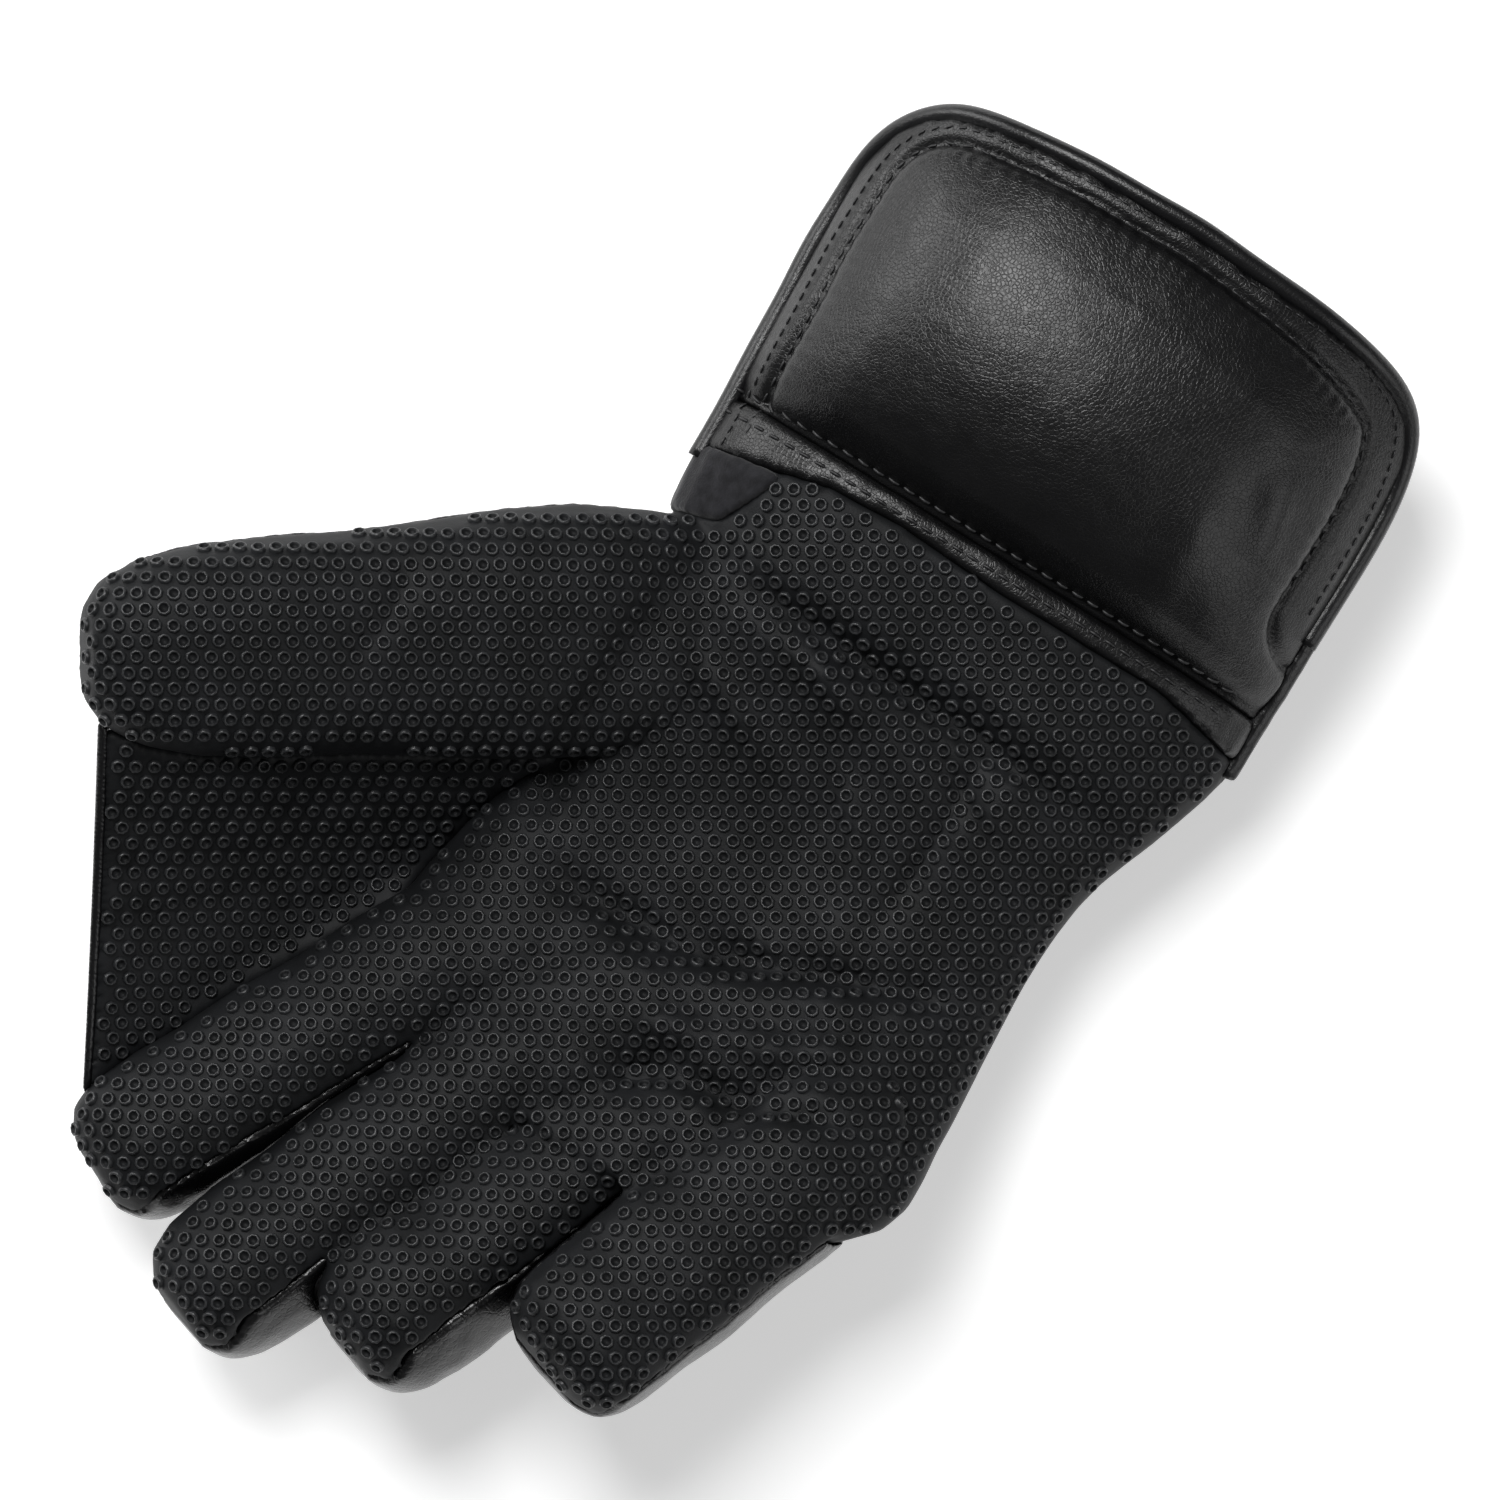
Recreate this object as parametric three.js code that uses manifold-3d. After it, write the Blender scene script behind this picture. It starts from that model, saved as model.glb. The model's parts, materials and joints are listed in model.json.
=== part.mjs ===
// A right-hand wicketkeeping glove that lies on its back with the palm up.
// Millimetres, with the floor at z = 0. +Y runs from the wrist seam to the cuff's mouth,
// -Y to the fingertips, -X to the thumb's side and +X to the little finger's side.
import * as THREE from 'three';
import { mergeVertices } from 'three/addons/utils/BufferGeometryUtils.js';
import Module from 'manifold-3d';

const wasm = await Module();
wasm.setup();

// Driving sizes of the hand and the cuff.
const PALM_LENGTH = 118;
const PALM_WIDTH = 104;
const PALM_DEPTH = 50;
const CUFF_LENGTH = 85;
const CUFF_WIDTH = 122;
const CUFF_DEPTH = 64;
const CUFF_CORNER = 19;
const CUFF_CROWN = 3.2;

// Walls, the clearance between neighbouring pieces, and the trims.
const PALM_WALL = 5.5;
const STALL_WALL = 4.2;
const CUFF_WALL = 7.5;
const CLEARANCE = 0.3;
const PIPING_RADIUS = 1.8;
const SIDE_ROLL_RADIUS = 2.1;
const SIDE_ROLL_TOP = 32;
const WEB_THICKNESS = 3.4;
const WEB_POCKET = 13;
const BINDING_WIDTH = 1.4;
const BINDING_LIP = 0.9;
const SEAM_SETBACK = 11.5;

// Height of the line where the front pieces meet the back pieces, as a share of PALM_DEPTH.
const SPLIT_SHARE = 0.5;

// How finely the forms are drawn.
const BODY_SIDES = 32;
const STALL_SIDES = 16;
const HOLLOW_SIDES = 10;
const ROLL_SIDES = 6;
const FINE_STEP = 6;
const COARSE_STEP = 16;
const PIPING_STEPS = 36;

// Cross-sections of the hand from the fingers' roots to the wrist seam. `along` is a share of
// PALM_LENGTH from the seam, `left` and `right` are shares of half PALM_WIDTH, and the heights are
// shares of PALM_DEPTH: `low`, `lowL` and `lowR` are the back's middle and sides, and the crowns
// are the palm's heights from the thumb's side to the little finger's side.
const HAND_SECTIONS = [
  {
    along: 1.07, left: 0.98, right: 0.56, low: 0.3, lowL: 0.34, lowR: 0.66, crownL: 0.72,
    crownML: 0.82, crownM: 1.0, crownMR: 1.16, crownR: 1.24,
  },
  {
    along: 0.92, left: 1.17, right: 0.97, low: 0.08, lowL: 0.16, lowR: 0.5, crownL: 0.82,
    crownML: 0.9, crownM: 1.02, crownMR: 1.2, crownR: 1.32,
  },
  {
    along: 0.75, left: 1.14, right: 1.0, low: -0.04, lowL: 0.04, lowR: 0.24, crownL: 0.84,
    crownML: 0.82, crownM: 0.88, crownMR: 1.02, crownR: 1.18,
  },
  {
    along: 0.6, left: 1.06, right: 0.98, low: -0.04, lowL: 0.02, lowR: 0.08, crownL: 0.86,
    crownML: 0.77, crownM: 0.8, crownMR: 0.91, crownR: 1.04,
  },
  {
    along: 0.42, left: 1.02, right: 0.96, low: -0.04, lowL: 0.02, lowR: 0.03, crownL: 0.94,
    crownML: 0.83, crownM: 0.8, crownMR: 0.88, crownR: 0.98,
  },
  {
    along: 0.28, left: 1.03, right: 0.99, low: -0.04, lowL: 0.02, lowR: 0.02, crownL: 1.0,
    crownML: 0.92, crownM: 0.87, crownMR: 0.94, crownR: 0.98,
  },
  {
    along: 0.14, left: 1.08, right: 1.1, low: -0.04, lowL: 0.02, lowR: 0.02, crownL: 1.04,
    crownML: 1.03, crownM: 0.96, crownMR: 1.0, crownR: 0.98,
  },
  {
    along: 0.0, left: 1.12, right: 1.19, low: -0.04, lowL: 0.02, lowR: 0.02, crownL: 1.02,
    crownML: 1.04, crownM: 1.0, crownMR: 1.0, crownR: 0.98,
  },
];

// Cross-sections of the cuff from the seam to its mouth. `along` is a share of CUFF_LENGTH, the
// sides are shares of half CUFF_WIDTH and the heights are shares of CUFF_DEPTH.
const CUFF_SECTIONS = [
  {
    along: 0.08, left: 0.96, right: 1.02, low: -0.03, lowL: 0.02, lowR: 0.02, crownL: 0.78,
    crownML: 0.8, crownM: 0.8, crownMR: 0.79, crownR: 0.77,
  },
  {
    along: 0.14, left: 0.96, right: 1.02, low: -0.03, lowL: 0.02, lowR: 0.02, crownL: 0.78,
    crownML: 0.79, crownM: 0.79, crownMR: 0.78, crownR: 0.76,
  },
  {
    along: 0.27, left: 0.965, right: 1.015, low: -0.03, lowL: 0.02, lowR: 0.02, crownL: 0.86,
    crownML: 0.94, crownM: 0.96, crownMR: 0.93, crownR: 0.84,
  },
  {
    along: 0.5, left: 0.98, right: 1.01, low: -0.03, lowL: 0.02, lowR: 0.02, crownL: 0.9,
    crownML: 1.01, crownM: 1.04, crownMR: 1.0, crownR: 0.87,
  },
  {
    along: 0.8, left: 1.0, right: 1.0, low: -0.03, lowL: 0.02, lowR: 0.02, crownL: 0.88,
    crownML: 1.0, crownM: 1.02, crownMR: 0.99, crownR: 0.85,
  },
  {
    along: 1.06, left: 1.01, right: 0.99, low: -0.03, lowL: 0.02, lowR: 0.02, crownL: 0.84,
    crownML: 0.94, crownM: 0.96, crownMR: 0.93, crownR: 0.82,
  },
];

// Folds pressed into the palm. Across and along are shares of half PALM_WIDTH and of PALM_LENGTH,
// depth is a share of PALM_DEPTH, with a ridge below zero, and breadth is a share of PALM_WIDTH.
const PALM_FOLDS = [
  { acrossA: -0.9, alongA: 0.06, acrossB: -0.93, alongB: 0.6, depth: 0.09, breadth: 0.05 },
  { acrossA: -0.65, alongA: 0.15, acrossB: 0.88, alongB: 0.18, depth: 0.07, breadth: 0.04 },
  { acrossA: -0.71, alongA: 0.72, acrossB: 0.1, alongB: 0.68, depth: 0.06, breadth: 0.05 },
  { acrossA: 0.1, alongA: 0.68, acrossB: 0.74, alongB: 0.55, depth: 0.06, breadth: 0.05 },
  { acrossA: -0.42, alongA: 0.79, acrossB: 0.72, alongB: 0.59, depth: -0.05, breadth: 0.045 },
  { acrossA: -0.33, alongA: 0.86, acrossB: 0.7, alongB: 0.67, depth: -0.04, breadth: 0.04 },
  { acrossA: -0.24, alongA: 0.92, acrossB: 0.74, alongB: 0.79, depth: 0.08, breadth: 0.045 },
  { acrossA: 0.35, alongA: 0.18, acrossB: 0.37, alongB: 0.5, depth: 0.05, breadth: 0.035 },
  { acrossA: -0.7, alongA: 0.29, acrossB: -0.39, alongB: 0.36, depth: -0.03, breadth: 0.04 },
  { acrossA: -0.36, alongA: 0.2, acrossB: -0.08, alongB: 0.24, depth: -0.03, breadth: 0.04 },
];

// Sizes of the finger stalls and the thumb stall.
const INDEX_LENGTH = 83;
const MIDDLE_LENGTH = 94;
const RING_LENGTH = 84;
const LITTLE_LENGTH = 65;
const THUMB_LENGTH = 101;
const FINGER_WIDTH = 31;
const LITTLE_WIDTH = 34;
const FINGER_THICKNESS = 33;
const THUMB_WIDTH = 50;
const THUMB_THICKNESS = 33;

// Where each stall starts and how it lies. Across and along are shares of half PALM_WIDTH and of
// PALM_LENGTH, height is a share of PALM_DEPTH, and the angles are degrees: yaw from -Y toward the
// thumb's side, pitch up from the floor at the root and at the tip, and roll toward the thumb.
const STALLS = [
  {
    name: 'index', length: INDEX_LENGTH, width: FINGER_WIDTH, thickness: FINGER_THICKNESS,
    across: -0.87, along: 0.9, height: 0.5, yaw: 27, pitchRoot: -2, pitchTip: 10, roll: 26,
  },
  {
    name: 'middle', length: MIDDLE_LENGTH, width: FINGER_WIDTH, thickness: FINGER_THICKNESS,
    across: -0.37, along: 0.91, height: 0.58, yaw: 22, pitchRoot: 0, pitchTip: 12, roll: 36,
  },
  {
    name: 'ring', length: RING_LENGTH, width: FINGER_WIDTH, thickness: FINGER_THICKNESS,
    across: 0.16, along: 0.89, height: 0.68, yaw: 23, pitchRoot: 2, pitchTip: 14, roll: 38,
  },
  {
    name: 'little', length: LITTLE_LENGTH, width: LITTLE_WIDTH, thickness: FINGER_THICKNESS,
    across: 0.61, along: 0.88, height: 0.9, yaw: 20, pitchRoot: 6, pitchTip: 16, roll: 12,
  },
  {
    name: 'thumb', length: THUMB_LENGTH, width: THUMB_WIDTH, thickness: THUMB_THICKNESS,
    across: -1.05, along: 0.33, height: 0.72, yaw: 54.7, pitchRoot: 13, pitchTip: 18,
    roll: -14,
  },
];

// Outlines of the stalls: along is a share of the stall's length, wide and thick of its own sizes.
// Split is the line where the leather back meets the rubber, as a share of half the thickness.
const FINGER_PROFILE = [
  { along: -0.3, wide: 0.6, thick: 0.5, split: 0.42 },
  { along: -0.12, wide: 0.88, thick: 0.84, split: 0.42 },
  { along: 0.04, wide: 0.98, thick: 1.0, split: 0.42 },
  { along: 0.18, wide: 1.0, thick: 1.02, split: 0.42 },
  { along: 0.34, wide: 0.97, thick: 0.95, split: 0.42 },
  { along: 0.5, wide: 1.0, thick: 1.02, split: 0.42 },
  { along: 0.66, wide: 0.98, thick: 0.93, split: 0.42 },
  { along: 0.78, wide: 0.98, thick: 0.99, split: 0.42 },
  { along: 0.9, wide: 0.94, thick: 0.93, split: 0.34 },
  { along: 0.965, wide: 0.8, thick: 0.78, split: -0.05 },
  { along: 1.0, wide: 0.5, thick: 0.48, split: -0.6 },
];
const THUMB_PROFILE = [
  { along: -0.28, wide: 0.66, thick: 0.52, split: -0.2 },
  { along: -0.1, wide: 0.9, thick: 0.84, split: -0.2 },
  { along: 0.05, wide: 0.98, thick: 1.0, split: -0.2 },
  { along: 0.2, wide: 0.97, thick: 1.04, split: -0.2 },
  { along: 0.36, wide: 0.9, thick: 0.96, split: -0.2 },
  { along: 0.5, wide: 0.86, thick: 0.9, split: -0.2 },
  { along: 0.66, wide: 0.84, thick: 0.94, split: -0.2 },
  { along: 0.8, wide: 0.8, thick: 0.9, split: -0.2 },
  { along: 0.9, wide: 0.7, thick: 0.82, split: -0.25 },
  { along: 0.965, wide: 0.56, thick: 0.68, split: -0.4 },
  { along: 1.0, wide: 0.36, thick: 0.42, split: -0.6 },
];

// The edge of the rubber at the wrist: across is a share of half CUFF_WIDTH, rise of SEAM_SETBACK.
const RUBBER_EDGE = [
  { across: -1.6, rise: -0.02 },
  { across: -1.0, rise: 0.0 },
  { across: -0.76, rise: 0.22 },
  { across: -0.54, rise: 0.52 },
  { across: -0.28, rise: 0.61 },
  { across: 0.1, rise: 0.52 },
  { across: 0.66, rise: 0.56 },
  { across: 0.98, rise: 0.27 },
  { across: 1.6, rise: 0.2 },
];

// The suede gusset's corners: across is a share of half CUFF_WIDTH, along of PALM_LENGTH.
const GUSSET_CORNERS = [
  { across: -1.4, along: 0.002 },
  { across: -0.98, along: 0.0 },
  { across: -0.68, along: -0.024 },
  { across: -0.78, along: 0.083 },
  { across: -0.96, along: 0.112 },
  { across: -1.4, along: 0.2 },
];

// The web between the thumb and the index finger: the stretch of each stall that it joins,
// as shares of the stall's length, and how far in from the stall's edge it starts.
const WEB_THUMB_FROM = 0.02;
const WEB_THUMB_TO = 0.96;
const WEB_INDEX_FROM = -0.08;
const WEB_INDEX_TO = 0.97;
const WEB_OVERLAP = 5;

const SPLIT_HEIGHT = SPLIT_SHARE * PALM_DEPTH;
const REACH = 3 * PALM_WIDTH;
const SMALLEST_DETAIL = 0.02;

// Joins the vertices that share a place, so that a geometry is one closed skin.
function welded(geometry) {
  const bare = geometry.clone();
  bare.deleteAttribute('normal');
  bare.deleteAttribute('uv');
  return mergeVertices(bare, 1e-4);
}

function toSolid(geometry) {
  const skin = welded(geometry);
  const faces = new Uint32Array(skin.index.array);
  const solid = new wasm.Manifold(
    new wasm.Mesh({ numProp: 3, vertProperties: skin.attributes.position.array, triVerts: faces }),
  );
  if (solid.volume() > 0) {
    return solid;
  }
  const turned = faces.slice();
  for (let i = 0; i < turned.length; i += 3) {
    turned[i + 1] = faces[i + 2];
    turned[i + 2] = faces[i + 1];
  }
  return new wasm.Manifold(
    new wasm.Mesh({ numProp: 3, vertProperties: skin.attributes.position.array, triVerts: turned }),
  );
}

function toGeometry(solid) {
  const mesh = solid.getMesh();
  const geometry = new THREE.BufferGeometry();
  geometry.setAttribute('position', new THREE.BufferAttribute(new Float32Array(mesh.vertProperties), 3));
  geometry.setIndex(new THREE.BufferAttribute(new Uint32Array(mesh.triVerts), 1));
  return geometry;
}

// A closed skin through rings of points, with a fan over each end.
function loft(rings) {
  const count = rings[0].length;
  const positions = [];
  const faces = [];
  for (const ring of rings) {
    for (const point of ring) {
      positions.push(point.x, point.y, point.z);
    }
  }
  for (let i = 0; i + 1 < rings.length; i += 1) {
    for (let j = 0; j < count; j += 1) {
      const a = i * count + j;
      const b = i * count + ((j + 1) % count);
      faces.push(a, b, b + count, a, b + count, a + count);
    }
  }
  for (const end of [0, rings.length - 1]) {
    const middle = new THREE.Vector3();
    rings[end].forEach((point) => middle.addScaledVector(point, 1 / count));
    const centre = positions.length / 3;
    positions.push(middle.x, middle.y, middle.z);
    for (let j = 0; j < count; j += 1) {
      const a = end * count + j;
      const b = end * count + ((j + 1) % count);
      faces.push(...(end === 0 ? [centre, b, a] : [centre, a, b]));
    }
  }
  const geometry = new THREE.BufferGeometry();
  geometry.setAttribute('position', new THREE.Float32BufferAttribute(positions, 3));
  geometry.setIndex(faces);
  return toSolid(geometry);
}

// Reads a table smoothly between its rows.
function reader(rows, key) {
  const names = Object.keys(rows[0]).filter((name) => typeof rows[0][name] === 'number' && name !== key);
  const sorted = [...rows].sort((a, b) => a[key] - b[key]);
  const places = sorted.map((row) => row[key]);
  const values = sorted.flatMap((row) => names.map((name) => row[name]));
  const curve = new THREE.CubicInterpolant(places, values, names.length, new Float32Array(names.length));
  return (at) => {
    const found = curve.evaluate(THREE.MathUtils.clamp(at, places[0], places[places.length - 1]));
    return Object.fromEntries(names.map((name, i) => [name, found[i]]));
  };
}

// A point of a rounded box whose corners grow squarer with the power.
function roundedPoint(angle, power) {
  const c = Math.cos(angle);
  const s = Math.sin(angle);
  return {
    u: Math.sign(c) * Math.abs(c) ** (2 / power),
    v: Math.sign(s) * Math.abs(s) ** (2 / power),
  };
}

// The hand and the cuff are one long form, read at any y from both tables in millimetres.
function sectionRow(row, length, width, depth, direction) {
  return {
    y: direction * row.along * length,
    left: (row.left * width) / 2,
    right: (row.right * width) / 2,
    low: row.low * depth,
    lowL: row.lowL * depth,
    lowR: row.lowR * depth,
    crownL: row.crownL * depth,
    crownML: row.crownML * depth,
    crownM: row.crownM * depth,
    crownMR: row.crownMR * depth,
    crownR: row.crownR * depth,
  };
}
const BODY_ROWS = [
  ...HAND_SECTIONS.map((row) => sectionRow(row, PALM_LENGTH, PALM_WIDTH, PALM_DEPTH, -1)),
  ...CUFF_SECTIONS.map((row) => sectionRow(row, CUFF_LENGTH, CUFF_WIDTH, CUFF_DEPTH, 1)),
];
const bodyAt = reader(BODY_ROWS, 'y');
const BODY_START = BODY_ROWS[0].y;
const BODY_END = BODY_ROWS[BODY_ROWS.length - 1].y;
const SECTION_POWER = 2.8;

function foldDepth(x, y) {
  const point = new THREE.Vector3(x, y, 0);
  let depth = 0;
  for (const fold of PALM_FOLDS) {
    const from = new THREE.Vector3((fold.acrossA * PALM_WIDTH) / 2, -fold.alongA * PALM_LENGTH, 0);
    const to = new THREE.Vector3((fold.acrossB * PALM_WIDTH) / 2, -fold.alongB * PALM_LENGTH, 0);
    const nearest = new THREE.Line3(from, to).closestPointToPoint(point, true, new THREE.Vector3());
    const share = nearest.distanceTo(point) / (fold.breadth * PALM_WIDTH);
    depth += fold.depth * PALM_DEPTH * Math.exp(-share * share);
  }
  return depth;
}

// Height of the palm's or the cuff's crown at a share u across the section, from -1 to 1.
function crownHeight(row, u) {
  const spots = [row.crownL, row.crownML, row.crownM, row.crownMR, row.crownR];
  const place = THREE.MathUtils.clamp((u + 1) * 2, 0, 3.999);
  const i = Math.floor(place);
  return THREE.MathUtils.lerp(spots[i], spots[i + 1], THREE.MathUtils.smoothstep(place - i, 0, 1));
}

function bodyPoint(y, u, v, grow, folded) {
  const row = bodyAt(y);
  const x = THREE.MathUtils.lerp(-row.left - grow, row.right + grow, (u + 1) / 2);
  const crown = crownHeight(row, u) + grow;
  const floor = THREE.MathUtils.lerp(row.low, u < 0 ? row.lowL : row.lowR, u * u) - grow;
  const middle = (crown + floor) / 2;
  const press = folded && v > 0 ? foldDepth(x, y) * v : 0;
  return new THREE.Vector3(x, y, middle + v * (crown - middle) - press);
}

function bodyForm(grow, step, sides, folded, from, to) {
  const handSteps = Math.round((SEAM_SETBACK - from) / step);
  const cuffSteps = Math.round((to - SEAM_SETBACK) / (2 * step));
  const rings = [];
  for (let i = 0; i <= handSteps + cuffSteps; i += 1) {
    const y =
      i <= handSteps
        ? THREE.MathUtils.lerp(from, SEAM_SETBACK, i / handSteps)
        : THREE.MathUtils.lerp(SEAM_SETBACK, to, (i - handSteps) / cuffSteps);
    const amount = typeof grow === 'function' ? grow(y) : grow;
    const out = i === 0 ? -amount : i === handSteps + cuffSteps ? amount : 0;
    const ring = [];
    for (let j = 0; j < sides; j += 1) {
      const { u, v } = roundedPoint((2 * Math.PI * j) / sides, SECTION_POWER);
      ring.push(bodyPoint(y, u, v, amount, folded).setY(y + out));
    }
    rings.push(ring);
  }
  return loft(rings);
}

// Frames along a stall's middle line, from behind its root to its tip.
function stallFrames(stall, profile) {
  const frames = [];
  const yaw = THREE.MathUtils.degToRad(stall.yaw);
  const roll = THREE.MathUtils.degToRad(stall.roll);
  const root = new THREE.Vector3(
    (stall.across * PALM_WIDTH) / 2,
    -stall.along * PALM_LENGTH,
    stall.height * PALM_DEPTH,
  );
  const tangentAt = (share) => {
    const bend = THREE.MathUtils.clamp(share, 0, 1);
    const pitch = THREE.MathUtils.degToRad(THREE.MathUtils.lerp(stall.pitchRoot, stall.pitchTip, bend));
    return new THREE.Vector3(
      -Math.sin(yaw) * Math.cos(pitch),
      -Math.cos(yaw) * Math.cos(pitch),
      Math.sin(pitch),
    );
  };
  const centreAt = (share) => {
    const point = root.clone();
    const steps = 12;
    for (let i = 0; i < steps; i += 1) {
      point.addScaledVector(tangentAt((share * (i + 0.5)) / steps), (share * stall.length) / steps);
    }
    return point;
  };
  for (const row of profile) {
    const along = tangentAt(row.along);
    const side = new THREE.Vector3(Math.cos(yaw), -Math.sin(yaw), 0);
    const up = new THREE.Vector3().crossVectors(along, side);
    frames.push({
      share: row.along,
      centre: centreAt(row.along),
      along,
      side: side.clone().multiplyScalar(Math.cos(roll)).addScaledVector(up, Math.sin(roll)),
      up: up.clone().multiplyScalar(Math.cos(roll)).addScaledVector(side, -Math.sin(roll)),
      halfWidth: (row.wide * stall.width) / 2,
      halfThickness: (row.thick * stall.thickness) / 2,
      plain: side,
      split: (row.split * stall.thickness) / 2,
    });
  }
  return frames;
}

function stallForm(frames, grow, sides) {
  const last = frames.length - 1;
  const rings = frames.map((frame, i) => {
    const shift = i === last ? grow : i === last - 1 ? 0.7 * grow : 0;
    const centre = frame.centre.clone().addScaledVector(frame.along, shift);
    const halfWidth = Math.max(frame.halfWidth + grow, 1);
    const halfThickness = Math.max(frame.halfThickness + grow, 1);
    const ring = [];
    for (let j = 0; j < sides; j += 1) {
      const { u, v } = roundedPoint((2 * Math.PI * j) / sides, 2.5);
      ring.push(
        centre.clone().addScaledVector(frame.side, u * halfWidth).addScaledVector(frame.up, v * halfThickness),
      );
    }
    return ring;
  });
  return loft(rings);
}

// The space above a stall's split line, which its rubber front is cut from.
function stallFront(frames, drop) {
  const rings = frames.map((frame, i) => {
    const shift = i === frames.length - 1 ? FINGER_THICKNESS : 0;
    const centre = frame.centre.clone().addScaledVector(frame.along, shift);
    const low = frame.split - drop;
    const corners = [
      [-1.2 * THUMB_WIDTH, low],
      [1.2 * THUMB_WIDTH, low],
      [1.2 * THUMB_WIDTH, THUMB_WIDTH],
      [-1.2 * THUMB_WIDTH, THUMB_WIDTH],
    ];
    return corners.map(([across, rise]) =>
      centre.clone().addScaledVector(frame.side, across).addScaledVector(frame.up, rise),
    );
  });
  return loft(rings);
}

// A straight-sided block over a plan outline, between two heights.
function planBlock(points, low, high) {
  const settings = { depth: high - low, bevelEnabled: false };
  const geometry = new THREE.ExtrudeGeometry(new THREE.Shape(points), settings);
  geometry.translate(0, 0, low);
  return toSolid(geometry);
}

function halfSpaceAbove(height) {
  const corners = [
    new THREE.Vector2(-REACH, -REACH),
    new THREE.Vector2(REACH, -REACH),
    new THREE.Vector2(REACH, REACH),
    new THREE.Vector2(-REACH, REACH),
  ];
  return planBlock(corners, height, REACH);
}

// The space on the hand's side of the rubber's wrist edge, moved along y by a shift.
function handSide(shift) {
  const edge = RUBBER_EDGE.map(
    (row) => new THREE.Vector2((row.across * CUFF_WIDTH) / 2, row.rise * SEAM_SETBACK + shift),
  );
  const corners = [...edge, new THREE.Vector2(REACH, -REACH), new THREE.Vector2(-REACH, -REACH)];
  return planBlock(corners, -REACH, REACH);
}

function gussetBlock(grow) {
  const points = GUSSET_CORNERS.map(
    (row) => new THREE.Vector2((row.across * CUFF_WIDTH) / 2, -row.along * PALM_LENGTH),
  );
  const middle = new THREE.Vector2();
  points.forEach((point) => middle.addScaledVector(point, 1 / points.length));
  const moved = points.map((point) => {
    const away = point.clone().sub(middle);
    return point.clone().addScaledVector(away.normalize(), grow * Math.SQRT2);
  });
  return planBlock(moved.reverse(), SPLIT_HEIGHT - grow, REACH);
}

// The plan outline of the cuff's front panel: straight sides, round corners and a crowned top.
function cuffOutline(mouth, leftFrom, rightFrom) {
  const top = mouth - CUFF_CROWN;
  const low = bodyAt(0);
  const high = bodyAt(top);
  const left = -high.left + PIPING_RADIUS / 2;
  const right = high.right - PIPING_RADIUS / 2;
  const shape = new THREE.Shape();
  shape.moveTo(-low.left + PIPING_RADIUS / 2, leftFrom);
  shape.lineTo(left, top - CUFF_CORNER);
  shape.quadraticCurveTo(left, top, left + CUFF_CORNER, top + CUFF_CROWN * 0.3);
  shape.quadraticCurveTo((left + right) / 2, mouth + CUFF_CROWN * 0.6, right - CUFF_CORNER, top + CUFF_CROWN * 0.3);
  shape.quadraticCurveTo(right, top, right, top - CUFF_CORNER);
  const share = rightFrom / (top - CUFF_CORNER);
  shape.lineTo(THREE.MathUtils.lerp(low.right - PIPING_RADIUS / 2, right, share), rightFrom);
  return shape.getPoints(8);
}

// The piping follows the outline on the cuff's outer face, from the wrist round to the wrist.
function pipingPath(outline) {
  return outline.map((point) => {
    const y = Math.max(point.y, 0);
    const row = bodyAt(y);
    const across = point.x < 0 ? point.x / row.left : point.x / row.right;
    const u = THREE.MathUtils.clamp(across, -1, 1);
    const v = Math.max(1 - Math.abs(u) ** SECTION_POWER, 0) ** (1 / SECTION_POWER);
    const onFace = bodyPoint(point.y, u, v, 0, false);
    const lowest = SPLIT_HEIGHT + PIPING_RADIUS;
    return new THREE.Vector3(point.x, point.y, Math.max(onFace.z - PIPING_RADIUS, lowest));
  });
}

function tube(path, radius, sides, steps) {
  const circle = new THREE.Shape();
  for (let i = 0; i < sides; i += 1) {
    const angle = (2 * Math.PI * (i + 0.5)) / sides;
    const x = radius * Math.cos(angle);
    const y = radius * Math.sin(angle);
    if (i === 0) {
      circle.moveTo(x, y);
    } else {
      circle.lineTo(x, y);
    }
  }
  circle.closePath();
  const curve = new THREE.CatmullRomCurve3(path, false, 'centripetal');
  return toSolid(new THREE.ExtrudeGeometry(circle, { steps, extrudePath: curve, bevelEnabled: false }));
}

function joined(solids) {
  return solids.reduce((all, solid) => all.add(solid));
}

// Keeps the largest body of a cut piece, without thin offcuts or slivers.
function mainBody(solid) {
  const bodies = solid.simplify(SMALLEST_DETAIL).decompose();
  return bodies.reduce((a, b) => (a.volume() > b.volume() ? a : b));
}

// The stalls, each pressed in where the next finger lies over it.
const stalls = Object.fromEntries(
  STALLS.map((stall) => {
    const frames = stallFrames(stall, stall.name === 'thumb' ? THUMB_PROFILE : FINGER_PROFILE);
    return [stall.name, { frames, sides: stall.name === 'thumb' ? STALL_SIDES + 4 : STALL_SIDES }];
  }),
);
const OVERLAPS = [
  { under: 'index', over: 'middle' },
  { under: 'middle', over: 'ring' },
  { under: 'ring', over: 'little' },
];
const coarse = (frames) => frames.filter((frame, i) => i % 2 === 0);
function pressed(name, grow) {
  const { frames, sides } = stalls[name];
  const own = grow < 0 ? stallForm(coarse(frames), grow, HOLLOW_SIDES) : stallForm(frames, grow, sides);
  const over = OVERLAPS.find((pair) => pair.under === name);
  if (!over) {
    return own;
  }
  const upper = stalls[over.over];
  return own.subtract(stallForm(upper.frames, CLEARANCE - grow, upper.sides));
}

const floor = halfSpaceAbove(0);
const names = STALLS.map((stall) => stall.name);
function wallAt(y) {
  const share = THREE.MathUtils.smoothstep(y, 0, SEAM_SETBACK);
  return -THREE.MathUtils.lerp(PALM_WALL, CUFF_WALL, share);
}

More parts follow.
